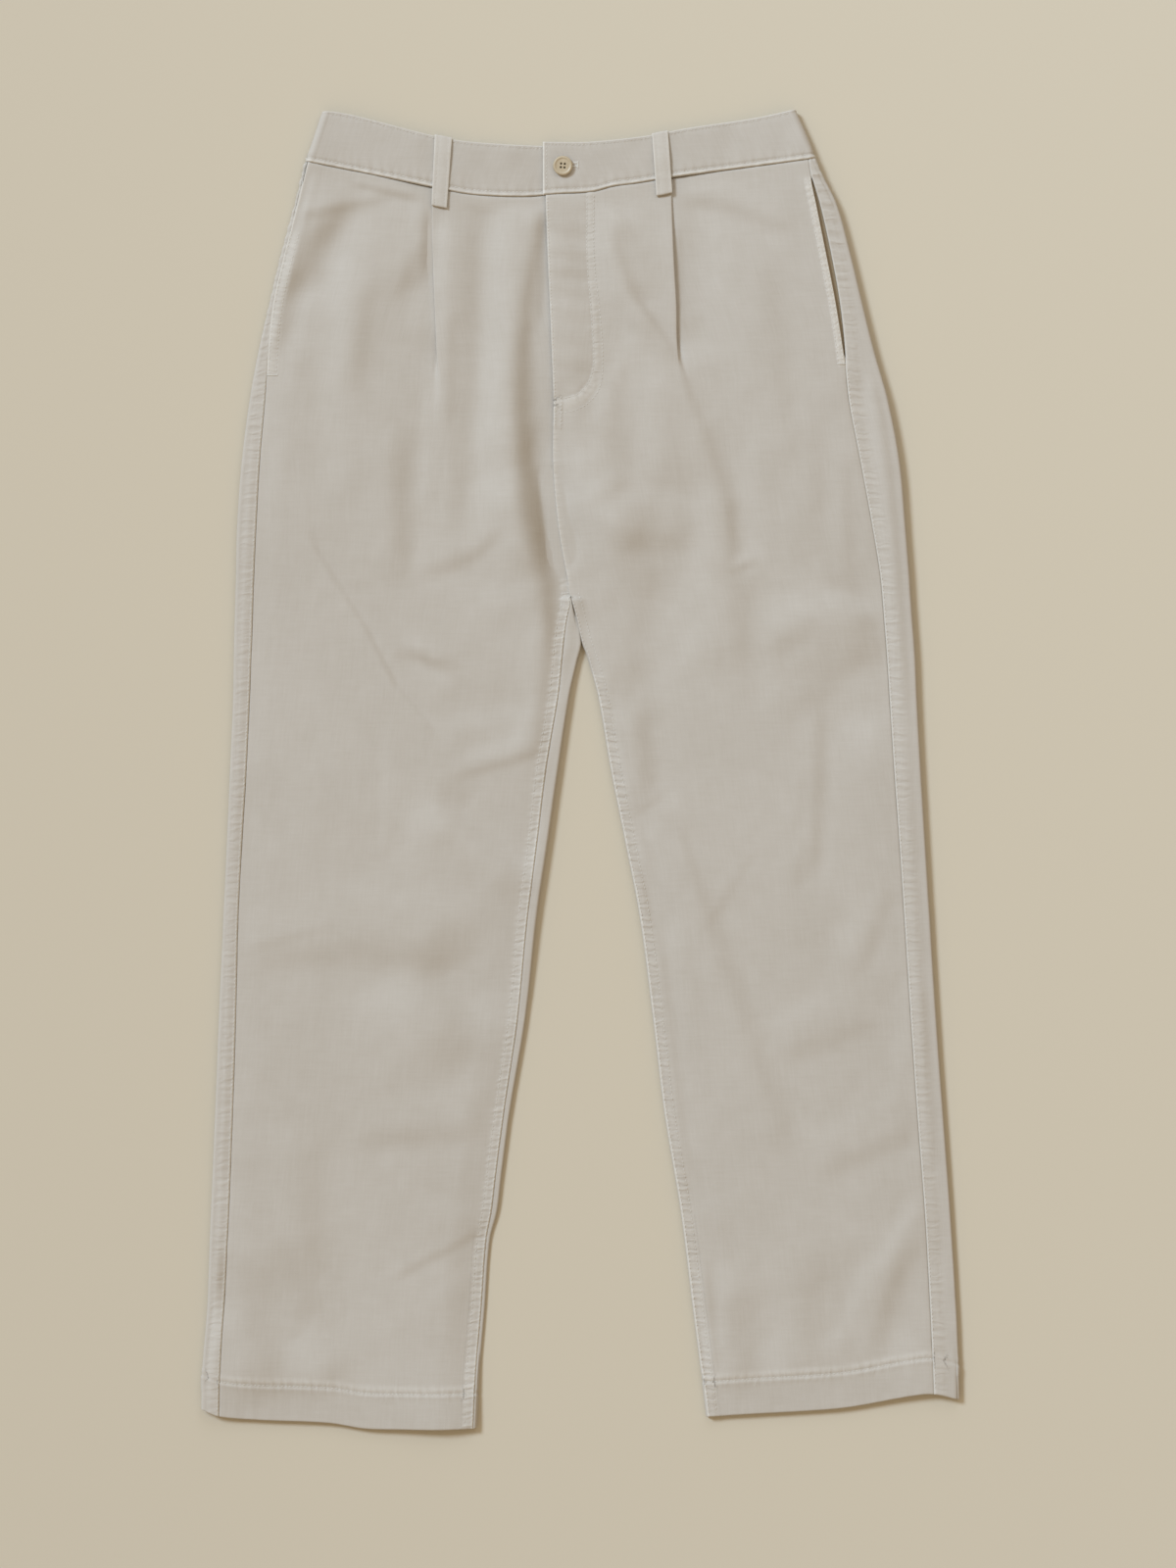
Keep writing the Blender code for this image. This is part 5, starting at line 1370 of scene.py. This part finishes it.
# ==== belt loops ======================================================================
def loop_line(leg):
    """Up the loop in its own plane: y, z, from under its foot to over the waistband."""
    top_x, foot_x, foot_y = LOOPS[leg.name][:3]
    seam_y, top_y = float(waist_seam(foot_x)), float(waist_tops[leg.name](top_x))
    panel = float(front_height(leg, foot_x, foot_y)) + CLOTH / 2
    band = float(leg.band_height(top_x)) + BAND_CLOTH / 2
    low = panel + LOOP_CLEARANCE + LOOP_CLOTH / 2
    turn = LOOP_CLOTH / 2 + 0.1
    over_band = band + LOOP_CLEARANCE + LOOP_CLOTH / 2
    rest = max(low + 2 * turn, over_band)
    mid_y = mix(seam_y, top_y, 0.45)
    hook = LOOP_CLOTH / 2 + LOOP_CLEARANCE
    line = [(foot_y + LOOP_TURN_UNDER, low), (foot_y + turn + 1, low)]
    for angle in (30, 60, 90, 120, 150, 180):
        bend = math.radians(angle)
        line.append((foot_y + turn * (1 - math.sin(bend)) + LOOP_CLOTH / 2,
                     low + turn * (1 - math.cos(bend))))
    line += [(foot_y + 5.0, low + 2 * turn), (seam_y - 3.0, rest),
             (seam_y + 4.0, rest + LOOP_BULGE * 0.6), (mid_y, rest + LOOP_BULGE),
             (mix(mid_y, top_y, 0.6), over_band + 0.5), (top_y - 1.0, over_band),
             (top_y + 0.6 * hook, over_band - 0.3 * hook), (top_y + hook, over_band - hook),
             (top_y + hook, band - BAND_CLOTH)]
    return line, foot_y, top_y


def build_belt_loop(leg, material):
    """A flat tube swept up the loop, with rounded edges and two stitched channels."""
    top_x, foot_x, _, top_width, foot_width = LOOPS[leg.name]
    line, foot_y, top_y = loop_line(leg)
    path = smooth_path(line, 0.7)
    turn = np.linspace(0, 2 * np.pi, LOOP_AROUND, endpoint=False)
    flat = np.sign(np.cos(turn)) * np.abs(np.cos(turn)) ** 0.55
    thick = np.sign(np.sin(turn)) * np.abs(np.sin(turn)) ** 0.75
    tangent = np.gradient(path, axis=0)
    tangent /= np.linalg.norm(tangent, axis=1, keepdims=True)
    facing = np.stack([-tangent[:, 1], tangent[:, 0]], axis=1)
    up = np.clip((path[:, 0] - foot_y) / (top_y - foot_y), 0, 1)[:, None]
    width = mix(foot_width, top_width, up) / 2
    across = width * flat[None, :]
    groove = bell(np.abs(across) - LOOP_STITCH, 0.7) * (thick > 0)
    swell = 0.16 * (thick > 0) * ripple(leg.seed + 80, path[:, :1] + 0.4 * across, 9.0)
    out = thick[None, :] * LOOP_CLOTH / 2 * 1.1 - 0.22 * groove + swell * (1 - np.abs(flat) ** 6)
    middle = mix(foot_x, top_x, up)
    x = middle + across
    slant = waist_tops[leg.name](x) - waist_tops[leg.name](middle)
    y = path[:, :1] + facing[:, :1] * out + slant
    z = path[:, 1:] + facing[:, 1:] * out
    rings = np.stack([x, y, z], axis=-1)
    index = np.arange(len(path) * LOOP_AROUND).reshape(len(path), LOOP_AROUND)
    faces = quads(np.concatenate([index, index[:, :1]], axis=1))
    faces += [index[0].tolist(), index[-1][::-1].tolist()]
    data = bpy.data.meshes.new(f"belt_loop_{leg.name}_cloth")
    data.from_pydata((rings.reshape(-1, 3) * MM).tolist(), [], faces)
    wear = 0.25 + 0.6 * np.abs(flat[None, :]) ** 8 + 0 * across
    write(data, "wear", "FLOAT", wear)
    write(data, "cloth", "FLOAT_VECTOR", np.stack([x - middle, y, 0 * x], axis=-1) * MM)
    close_up(data)
    return finished(f"belt_loop_{leg.name}_cloth", data, material)


# ==== button ==========================================================================
def button_profile():
    """From its foot out, over the rim and in over the dish: radius, height."""
    r, t = BUTTON_RADIUS, BUTTON_THICKNESS
    rim, dish = r - BUTTON_RIM_WIDTH, t - BUTTON_DISH
    return smooth_path(((r - 1.8, 0.0), (r - 0.9, 0.25), (r - 0.3, 0.9), (r, 1.6), (r - 0.15, 2.2),
                        (r - 0.6, t - 0.25), (r - 1.2, t), (rim + 0.2, t - 0.15),
                        (rim - 0.4, t - 0.5), (rim - 1.1, dish), (1.2, dish + 0.12)), 0.35)


def four_posts(radius, depth, z):
    """Upright round posts where the button's holes are."""
    mesh = bmesh.new()
    reach = BUTTON_HOLE_SPACING / math.sqrt(2)
    for corner in range(4):
        angle = math.pi / 4 + corner * math.pi / 2
        spot = Vector((reach * math.cos(angle), reach * math.sin(angle), 0)) * MM
        post = bmesh.ops.create_cone(mesh, cap_ends=True, segments=BUTTON_HOLE_AROUND,
                                     radius1=radius * MM, radius2=radius * MM, depth=depth * MM)
        bmesh.ops.translate(mesh, verts=post["verts"], vec=spot + Vector((0, 0, z * MM)))
    return mesh


def build_button(material, thread):
    """A turned disc with a raised rim and four holes, and the thread in them."""
    base = float(LEFT.band_height(BUTTON_CENTRE[0])) + BAND_CLOTH / 2 + SEAM_GAP
    mesh = bmesh.new()
    turns = [2 * math.pi * step / BUTTON_AROUND for step in range(BUTTON_AROUND)]
    rings = [[mesh.verts.new((radius * math.cos(angle) * MM, radius * math.sin(angle) * MM, z * MM))
              for angle in turns] for radius, z in button_profile()]
    for lower, upper in zip(rings, rings[1:]):
        for here in range(BUTTON_AROUND):
            after = (here + 1) % BUTTON_AROUND
            mesh.faces.new((lower[here], lower[after], upper[after], upper[here]))
    mesh.faces.new(rings[0][::-1])
    mesh.faces.new(rings[-1])
    bmesh.ops.recalc_face_normals(mesh, faces=mesh.faces)
    button = finished("button_disc", mesh_from("button_disc", mesh), material)
    cutter = placed("cutter", mesh_from("cutter", four_posts(BUTTON_HOLE_RADIUS, 12.0, 0.0)))
    holes = button.modifiers.new("holes", "BOOLEAN")
    holes.object = cutter
    holes.solver = "EXACT"
    bevel = button.modifiers.new("bevel", "BEVEL")
    bevel.width = BUTTON_BEVEL * MM
    bevel.segments = 2
    bevel.limit_method = "ANGLE"
    bevel.angle_limit = math.radians(50)
    depsgraph = bpy.context.evaluated_depsgraph_get()
    cut = bpy.data.meshes.new_from_object(button.evaluated_get(depsgraph))
    button.modifiers.clear()
    button.data = cut
    bpy.data.objects.remove(cutter, do_unlink=True)
    posts = mesh_from("button_thread", four_posts(BUTTON_THREAD_RADIUS, 0.8, -0.3))
    threads = finished("button_thread", posts, thread)
    for piece in (button, threads):
        piece.location = (BUTTON_CENTRE[0] * MM, BUTTON_CENTRE[1] * MM, base * MM)
        piece.rotation_euler.z = BUTTON_TURN
    return button, threads


# ==== stitches ========================================================================
def surface_of(piece):
    """Finds the top of a piece of cloth at a place: its point and normal."""
    vertices = [vertex.co for vertex in piece.data.vertices]
    tree = BVHTree.FromPolygons(vertices, [tuple(face.vertices) for face in piece.data.polygons])

    def drop(x, y):
        found, normal, _, _ = tree.ray_cast(Vector((x * MM, y * MM, 0.05)), Vector((0, 0, -1)))
        return (found, normal if normal.z > 0 else -normal) if found else None

    return drop


class Sewing:
    """Gathers stitches along lines on one piece, and makes one mesh of them."""

    def __init__(self, part, leg, piece, material):
        self.name, self.piece, self.material = f"stitches_{part}_{leg.name}", piece, material
        self.drop = surface_of(piece)
        self.stitches = []

    def down(self, x_at, top, bottom, **thread):
        """A row down the garment, along a line given as x for each y."""
        ys = np.append(np.arange(top, bottom, -LINE_STEP), bottom)
        self.row([(float(x_at(y)), float(y)) for y in ys], **thread)

    def row(self, points, pitch=STITCH_PITCH, length=STITCH_LENGTH, radius=THREAD_RADIUS, seed=0):
        path = smooth_path(points, 0.5)
        stations = np.concatenate([[0], np.cumsum(np.hypot(*np.diff(path, axis=0).T))])
        rng = np.random.default_rng(seed + int(abs(path[0, 0] * 7 + path[0, 1] * 13)))
        place = 0.3
        while place + length < stations[-1]:
            ends = [[np.interp(at, stations, path[:, axis]) for axis in (0, 1)]
                    for at in (place, place + length)]
            self.stitch(*ends, radius * rng.uniform(0.9, 1.1))
            place += pitch * rng.uniform(0.96, 1.04)

    def stitch(self, start, end, radius):
        hits = [self.drop(*start), self.drop(*end)]
        if None not in hits:
            self.stitches.append((hits[0][0] / MM, hits[1][0] / MM,
                                  (hits[0][1] + hits[1][1]).normalized(), radius))

    def bar(self, start, end, width, pitch=0.5):
        """A bar of close stitches across the line from start to end."""
        start, end = np.array(start, float), np.array(end, float)
        along = (end - start) / np.linalg.norm(end - start)
        side = np.array([-along[1], along[0]]) * width / 2
        count = int(np.linalg.norm(end - start) / pitch)
        for step in range(count + 1):
            spot = mix(start, end, step / max(count, 1))
            self.stitch(spot - side, spot + side + along * pitch * 0.4, BAR_THREAD_RADIUS)

    def make(self):
        points, faces = [], []
        for start, end, up, radius in self.stitches:
            along = (end - start).normalized()
            side = along.cross(up).normalized()
            up = side.cross(along)
            first = len(points)
            points.append(start - up * radius * 0.7)
            for share, size, lift in ((0.12, 0.75, 0.1), (0.5, 1.0, 0.45), (0.88, 0.75, 0.1)):
                spot = start.lerp(end, share) + up * radius * lift
                for turn in range(4):
                    angle = math.pi / 4 + turn * math.pi / 2
                    points.append(spot + (side * math.cos(angle) + up * math.sin(angle) * 0.8)
                                  * radius * size * 1.25)
            points.append(end - up * radius * 0.7)
            for turn in range(4):
                after = (turn + 1) % 4
                faces.append((first, first + 1 + after, first + 1 + turn))
                for ring in (0, 1):
                    a, b = first + 1 + ring * 4, first + 5 + ring * 4
                    faces.append((a + turn, a + after, b + after, b + turn))
                faces.append((first + 13, first + 9 + turn, first + 9 + after))
        data = bpy.data.meshes.new(self.name)
        data.from_pydata([point * MM for point in points], [], faces)
        piece = finished(self.name, data, self.material)
        piece.parent = self.piece
        return piece


def sew_front(leg, piece, thread):
    outer, inner = front_edges(leg)
    sewing = Sewing("front", leg, piece, thread)
    top, bottom = MOUTH_SEWN[leg.name]
    hem = float(leg.hem_edge_at(leg.inner_hem_x))
    sewing.down(lambda y: inner(y) + leg.outward * INSEAM_BAND, CROTCH_Y + 4, hem + 4)
    sewing.down(lambda y: inner(y) + leg.outward * INSEAM_EDGE_ROW, CROTCH_Y + 2, hem + 2)
    for inset in MOUTH_ROWS[leg.name]:
        sewing.down(lambda y: outer(y) - leg.outward * inset, top - 1, bottom + 1)
    x = float(outer(bottom))
    sewing.bar((x + leg.outward * 1.0, bottom), (x - leg.outward * (inset + 0.8), bottom), 1.8)
    xs = np.linspace(float(inner(hem + HEM_DEPTH)), float(outer(hem + HEM_DEPTH)), 20)
    sewing.row([(x, float(leg.hem_edge_at(x)) + HEM_DEPTH) for x in xs])
    if leg.name == "left":
        sewing.row(FLY_STITCH)
        sewing.row(FLY_SECOND)
        sewing.down(lambda y: leg.line("inseam", y) + FLY_EDGE_ROW, 466.0, 278.0, length=1.9,
                    pitch=2.6)
        sewing.down(lambda y: leg.line("inseam", y) + FLY_INNER_ROW, 304.0, 276.0)
    return sewing.make()


def sew_back(leg, piece, thread):
    sewing = Sewing("back", leg, piece, thread)
    bottom = float(leg.hem_edge_at(leg.line("outseam", -500.0))) + 3
    mouth_end = POCKET_MOUTHS[leg.name][1]
    sewing.down(lambda y: leg.outer_seam(y) + leg.outward * OUTSEAM_ROW, mouth_end - 4, bottom)
    return sewing.make()


def sew_waistband(leg, piece, thread):
    sewing = Sewing("waistband", leg, piece, thread)
    top = waist_tops[leg.name]
    end = BAND_ENDS[leg.name]
    start = end + leg.outward * (BAND_END_ROW if leg.name == "left" else 34.0)
    low, high = (np.linspace(start, side - leg.outward * 6.0, 30) for side in BAND_SIDES[leg.name])
    sewing.row([(x, float(waist_seam(x)) + BAND_LOW_ROW) for x in low])
    sewing.row([(x, float(top(x)) - BAND_TOP_ROW) for x in high], pitch=2.8, length=2.1)
    if leg.name == "left":
        x = end + BAND_END_ROW
        sewing.row([(x, float(top(x)) - 3), (x, 495.0), (x, float(waist_seam(x)) + 5)])
        slot_y = BUTTON_CENTRE[1] + BUTTONHOLE_UP
        near, far = BUTTONHOLE_ENDS
        for side_y in (slot_y + BUTTONHOLE_HALF, slot_y - BUTTONHOLE_HALF):
            sewing.bar((near, side_y), (far, side_y), 1.9, pitch=0.45)
        x, half = BUTTONHOLE_END_BAR
        sewing.bar((x, slot_y + half), (x, slot_y - half), 1.7, pitch=0.4)
    return sewing.make()


def sew_loop(leg, piece, thread):
    sewing = Sewing("belt_loop", leg, piece, thread)
    top_x, foot_x, foot_y = LOOPS[leg.name][:3]
    top_y = float(waist_tops[leg.name](top_x))
    for side in (-LOOP_STITCH, LOOP_STITCH):
        halfway = (mix(foot_x, top_x, 0.5) + side, mix(foot_y, top_y, 0.5))
        sewing.row([(foot_x + side, foot_y + 2.5), halfway, (top_x + side, top_y - 2.0)],
                   pitch=2.9, length=2.2, radius=0.13)
    return sewing.make()


# ==== materials =======================================================================
CLOTH_LIGHT = (0.528, 0.490, 0.436, 1.0)
CLOTH_DARK = (0.454, 0.413, 0.354, 1.0)
# Paler cloth, mixed in by the wear attribute: partly worn colour, partly painted highlight on edges
# and ridges that face the light.
CLOTH_WORN_AND_HIGHLIGHT = (0.680, 0.645, 0.580, 1.0)
# The pocket facing's dark brown is partly painted shade, to darken the slit of the pocket's mouth.
INSIDE_PAINTED_SHADE_LIGHT = (0.370, 0.290, 0.190, 1.0)
INSIDE_PAINTED_SHADE_DARK = (0.300, 0.230, 0.145, 1.0)
THREAD_COLOR = (0.66, 0.625, 0.56, 1.0)
BUTTON_DARK = (0.34, 0.26, 0.155, 1.0)
BUTTON_LIGHT = (0.56, 0.475, 0.335, 1.0)
# The two ends of a painted light falloff over the floor.
FLOOR_PAINTED_LIT = (0.602, 0.540, 0.425, 1.0)
FLOOR_PAINTED_SHADE = (0.570, 0.510, 0.402, 1.0)


class Nodes:
    """A material's node tree, with short calls to add and link nodes."""

    def __init__(self, name):
        self.material = bpy.data.materials.new(name)
        self.material.use_nodes = True
        self.tree = self.material.node_tree
        self.shader = self.tree.nodes["Principled BSDF"]

    def add(self, kind, settings=(), **inputs):
        node = self.tree.nodes.new(kind)
        for key, value in dict(settings).items():
            setattr(node, key, value)
        for key, value in inputs.items():
            self.put(node.inputs[key.replace("_", " ")], value)
        return node

    def surface(self, **inputs):
        for key, value in inputs.items():
            self.put(self.shader.inputs[key.replace("_", " ")], value)

    def attribute(self, name, output):
        return self.add("ShaderNodeAttribute", {"attribute_name": name}).outputs[output]

    def put(self, socket, value):
        if isinstance(value, bpy.types.NodeSocket):
            self.tree.links.new(value, socket)
        else:
            socket.default_value = value

    def noise(self, vector, scale=1.0, detail=2.0, roughness=0.6):
        node = self.add("ShaderNodeTexNoise", Vector=vector, Scale=scale, Detail=detail,
                        Roughness=roughness)
        return node.outputs["Fac"]

    def scaled(self, vector, scale):
        node = self.add("ShaderNodeVectorMath", {"operation": "MULTIPLY"})
        self.put(node.inputs[0], vector)
        node.inputs[1].default_value = scale
        return node.outputs["Vector"]

    def scaled_add(self, first, factor, rest, clamp=False):
        return self.math("MULTIPLY_ADD", first, factor, rest, clamp)

    def math(self, operation, first, second=0.0, third=0.0, clamp=False):
        node = self.add("ShaderNodeMath", {"operation": operation, "use_clamp": clamp})
        for socket, value in zip(node.inputs, (first, second, third)):
            self.put(socket, value)
        return node.outputs[0]

    def blend(self, share, first, second):
        node = self.add("ShaderNodeMix", {"data_type": "RGBA", "clamp_factor": True})
        self.put(node.inputs[0], share)
        self.put(node.inputs[6], first)
        self.put(node.inputs[7], second)
        return node.outputs[2]

    def bump(self, height, distance, strength, normal=None):
        node = self.add("ShaderNodeBump", Height=height, Distance=distance, Strength=strength)
        if normal is not None:
            self.put(node.inputs["Normal"], normal)
        return node.outputs["Normal"]


def cloth_material(name, dark, light):
    """Garment-dyed cotton twill: threads, slubs, soft mottling, and paler edges that are partly
    worn and partly painted highlight.
    """
    nodes = Nodes(name)
    flat = nodes.attribute("cloth", "Vector")
    worn_and_highlit = nodes.attribute("wear", "Fac")
    mottle = nodes.noise(flat, 9.0, 3.0, 0.55)
    blotch = nodes.noise(flat, 55.0, 3.0)
    warp = nodes.noise(nodes.scaled(flat, (2600.0, 55.0, 1.0)))
    weft = nodes.noise(nodes.scaled(flat, (70.0, 2100.0, 1.0)))
    slub = nodes.noise(nodes.scaled(flat, (620.0, 26.0, 1.0)), roughness=0.55)
    streak = nodes.noise(nodes.scaled(flat, (34.0, 520.0, 1.0)), roughness=0.55)
    tone = 0.0
    for part, weight in ((mottle, 0.36), (blotch, 0.24), (warp, 0.30), (weft, 0.24), (slub, 0.24),
                         (streak, 0.22)):
        tone = nodes.scaled_add(part, weight, tone)
    tone = nodes.scaled_add(tone, 2.1, -1.22, clamp=True)
    color = nodes.blend(tone, dark, light)
    gathers = nodes.attribute("gathers", "Vector")
    along, across, strength = nodes.add("ShaderNodeSeparateXYZ", Vector=gathers).outputs
    drift = nodes.noise(nodes.scaled(gathers, (0.11, 0.05, 0.0)))
    turn = nodes.scaled_add(across, 0.1, nodes.math("MULTIPLY", drift, 16.0))
    turn = nodes.scaled_add(along, 1.05, turn)
    uneven = nodes.noise(nodes.scaled(gathers, (0.22, 0.12, 0.0)), 1.0, 1.0, 0.5)
    rope = nodes.math("MULTIPLY", nodes.math("SINE", turn), nodes.math("MULTIPLY", uneven, 2.0))
    rope = nodes.math("MULTIPLY", rope, strength)
    rub = nodes.noise(flat, 420.0)
    share = nodes.math("MULTIPLY", worn_and_highlit, nodes.scaled_add(rub, 0.9, 0.25))
    share = nodes.scaled_add(rope, 0.08, nodes.math("MULTIPLY", share, 1.05), clamp=True)
    nodes.surface(Base_Color=nodes.blend(share, color, CLOTH_WORN_AND_HIGHLIGHT),
                  Roughness=nodes.scaled_add(warp, 0.12, 0.80), Sheen_Weight=0.12,
                  Sheen_Roughness=0.5, Specular_IOR_Level=0.22)
    twist = nodes.add("ShaderNodeMapping", Vector=flat, Rotation=(0.0, 0.0, math.radians(27.0)),
                      Scale=(1.0, 1.0, 1.0)).outputs["Vector"]
    twill = nodes.add("ShaderNodeTexWave", {"bands_direction": "X"}, Vector=twist, Scale=400.0,
                      Distortion=1.2, Detail=1.0, Detail_Scale=2.0).outputs["Fac"]
    normal = nodes.bump(rope, 0.00016, 1.0)
    normal = nodes.bump(twill, 0.00006, 0.3, normal)
    nodes.surface(Normal=nodes.bump(nodes.math("ADD", warp, weft), 0.00018, 0.42, normal))
    return nodes.material


def thread_material():
    nodes = Nodes("sewing thread")
    place = nodes.add("ShaderNodeTexCoord").outputs["Object"]
    fibre = nodes.noise(place, 3500.0)
    shade = tuple(c * 0.9 for c in THREAD_COLOR[:3]) + (1.0,)
    nodes.surface(Base_Color=nodes.blend(fibre, shade, THREAD_COLOR), Roughness=0.6,
                  Specular_IOR_Level=0.3, Normal=nodes.bump(fibre, 0.0001, 0.4))
    return nodes.material


def button_material():
    """Corozo: a tan nut shell with a faint wavy grain and a soft polish."""
    nodes = Nodes("corozo button")
    place = nodes.add("ShaderNodeTexCoord").outputs["Object"]
    grain = nodes.noise(nodes.scaled(place, (900.0, 260.0, 300.0)), 1.0, 4.0)
    cloudy = nodes.noise(place, 160.0, 3.0, 0.5)
    half_grain = nodes.math("MULTIPLY", grain, 0.5)
    tone = nodes.scaled_add(cloudy, 0.6, half_grain, clamp=True)
    nodes.surface(Base_Color=nodes.blend(tone, BUTTON_DARK, BUTTON_LIGHT),
                  Roughness=nodes.scaled_add(grain, 0.15, 0.36),
                  Normal=nodes.bump(grain, 0.00008, 0.35))
    return nodes.material


def floor_material():
    nodes = Nodes("studio floor")
    place = nodes.add("ShaderNodeTexCoord").outputs["Object"]
    apart = nodes.add("ShaderNodeSeparateXYZ", Vector=place)
    # Painted light falloff: the floor is darker towards the left and the bottom.
    slope = nodes.scaled_add(apart.outputs["Y"], 0.3, 0.5)
    slope = nodes.scaled_add(apart.outputs["X"], 0.7, slope, clamp=True)
    nodes.surface(Base_Color=nodes.blend(slope, FLOOR_PAINTED_SHADE, FLOOR_PAINTED_LIT), Roughness=0.95,
                  Specular_IOR_Level=0.1)
    return nodes.material


def build_all():
    cloth = cloth_material("chino twill", CLOTH_DARK, CLOTH_LIGHT)
    shade = cloth_material("chino twill inside", INSIDE_PAINTED_SHADE_DARK, INSIDE_PAINTED_SHADE_LIGHT)
    thread = thread_material()
    made = {}
    for leg in (RIGHT, LEFT):
        for part, build, stuff in (("front", build_front, cloth), ("back", build_back, cloth),
                                   ("waistband", build_waistband, cloth),
                                   ("pocket_facing", build_pocket_facing, shade),
                                   ("belt_loop", build_belt_loop, cloth)):
            made[f"{part}_{leg.name}"] = build(leg, stuff)
        for part, sew in (("front", sew_front), ("back", sew_back), ("waistband", sew_waistband),
                          ("belt_loop", sew_loop)):
            sew(leg, made[f"{part}_{leg.name}"], thread)
    made["button"], _ = build_button(button_material(), thread)
    for node, piece in made.items():
        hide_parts(node)
    return made


CAMERA_PLACE = (0.0056, -0.012, 3.4)
SEEN_HEIGHT = 1.28      # of the floor, from the picture's top to its bottom, in metres
SENSOR_HEIGHT = 36.0
FLOOR_HALF, FLOOR_DOWN = 4, 0.0002
KEY_FROM = (-0.62, 0.52, 0.68)
KEY_ENERGY = 2.84
KEY_SOFTNESS = 17.0
KEY_COLOR = (0.64, 0.80, 1.0)
TOP_PLACE, TOP_FROM = (0.4, 1.7, 1.3), (0.2, 1.3, 1.3)
TOP_ENERGY, TOP_SIZE = 6.8, 1.2
FILL = 0.577
FILL_COLOR = (1.0, 0.822, 0.595, 1.0)


def add_light(name, kind, comes_from, place=(0, 0, 0), **settings):
    light = bpy.data.lights.new(name, kind)
    for key, value in settings.items():
        setattr(light, key, value)
    lamp = placed(name, light)
    lamp.location = place
    lamp.rotation_euler = Vector(comes_from).to_track_quat("Z", "Y").to_euler()


def stage_and_camera():
    data = bpy.data.meshes.new("floor")
    corners = [(x * FLOOR_HALF, y * FLOOR_HALF, -FLOOR_DOWN)
               for x, y in ((-1, -1), (1, -1), (1, 1), (-1, 1))]
    data.from_pydata(corners, [], [(0, 1, 2, 3)])
    data.materials.append(floor_material())
    floor = placed("floor", data)
    add_light("key", "SUN", KEY_FROM, energy=KEY_ENERGY, angle=math.radians(KEY_SOFTNESS),
              color=KEY_COLOR)
    add_light("top", "AREA", TOP_FROM, TOP_PLACE, shape="DISK", size=TOP_SIZE, energy=TOP_ENERGY,
              color=KEY_COLOR)
    world = bpy.data.worlds.new("studio")
    world.use_nodes = True
    background = world.node_tree.nodes["Background"]
    background.inputs["Color"].default_value = FILL_COLOR
    background.inputs["Strength"].default_value = FILL
    lens = bpy.data.cameras.new("camera")
    lens.sensor_fit = "VERTICAL"
    lens.sensor_height = SENSOR_HEIGHT
    lens.lens = SENSOR_HEIGHT * CAMERA_PLACE[2] / SEEN_HEIGHT
    camera = placed("camera", lens)
    camera.location = CAMERA_PLACE
    scene = bpy.context.scene
    scene.world, scene.camera = world, camera
    scene.view_settings.view_transform = "Standard"


pieces = build_all()
stage_and_camera()
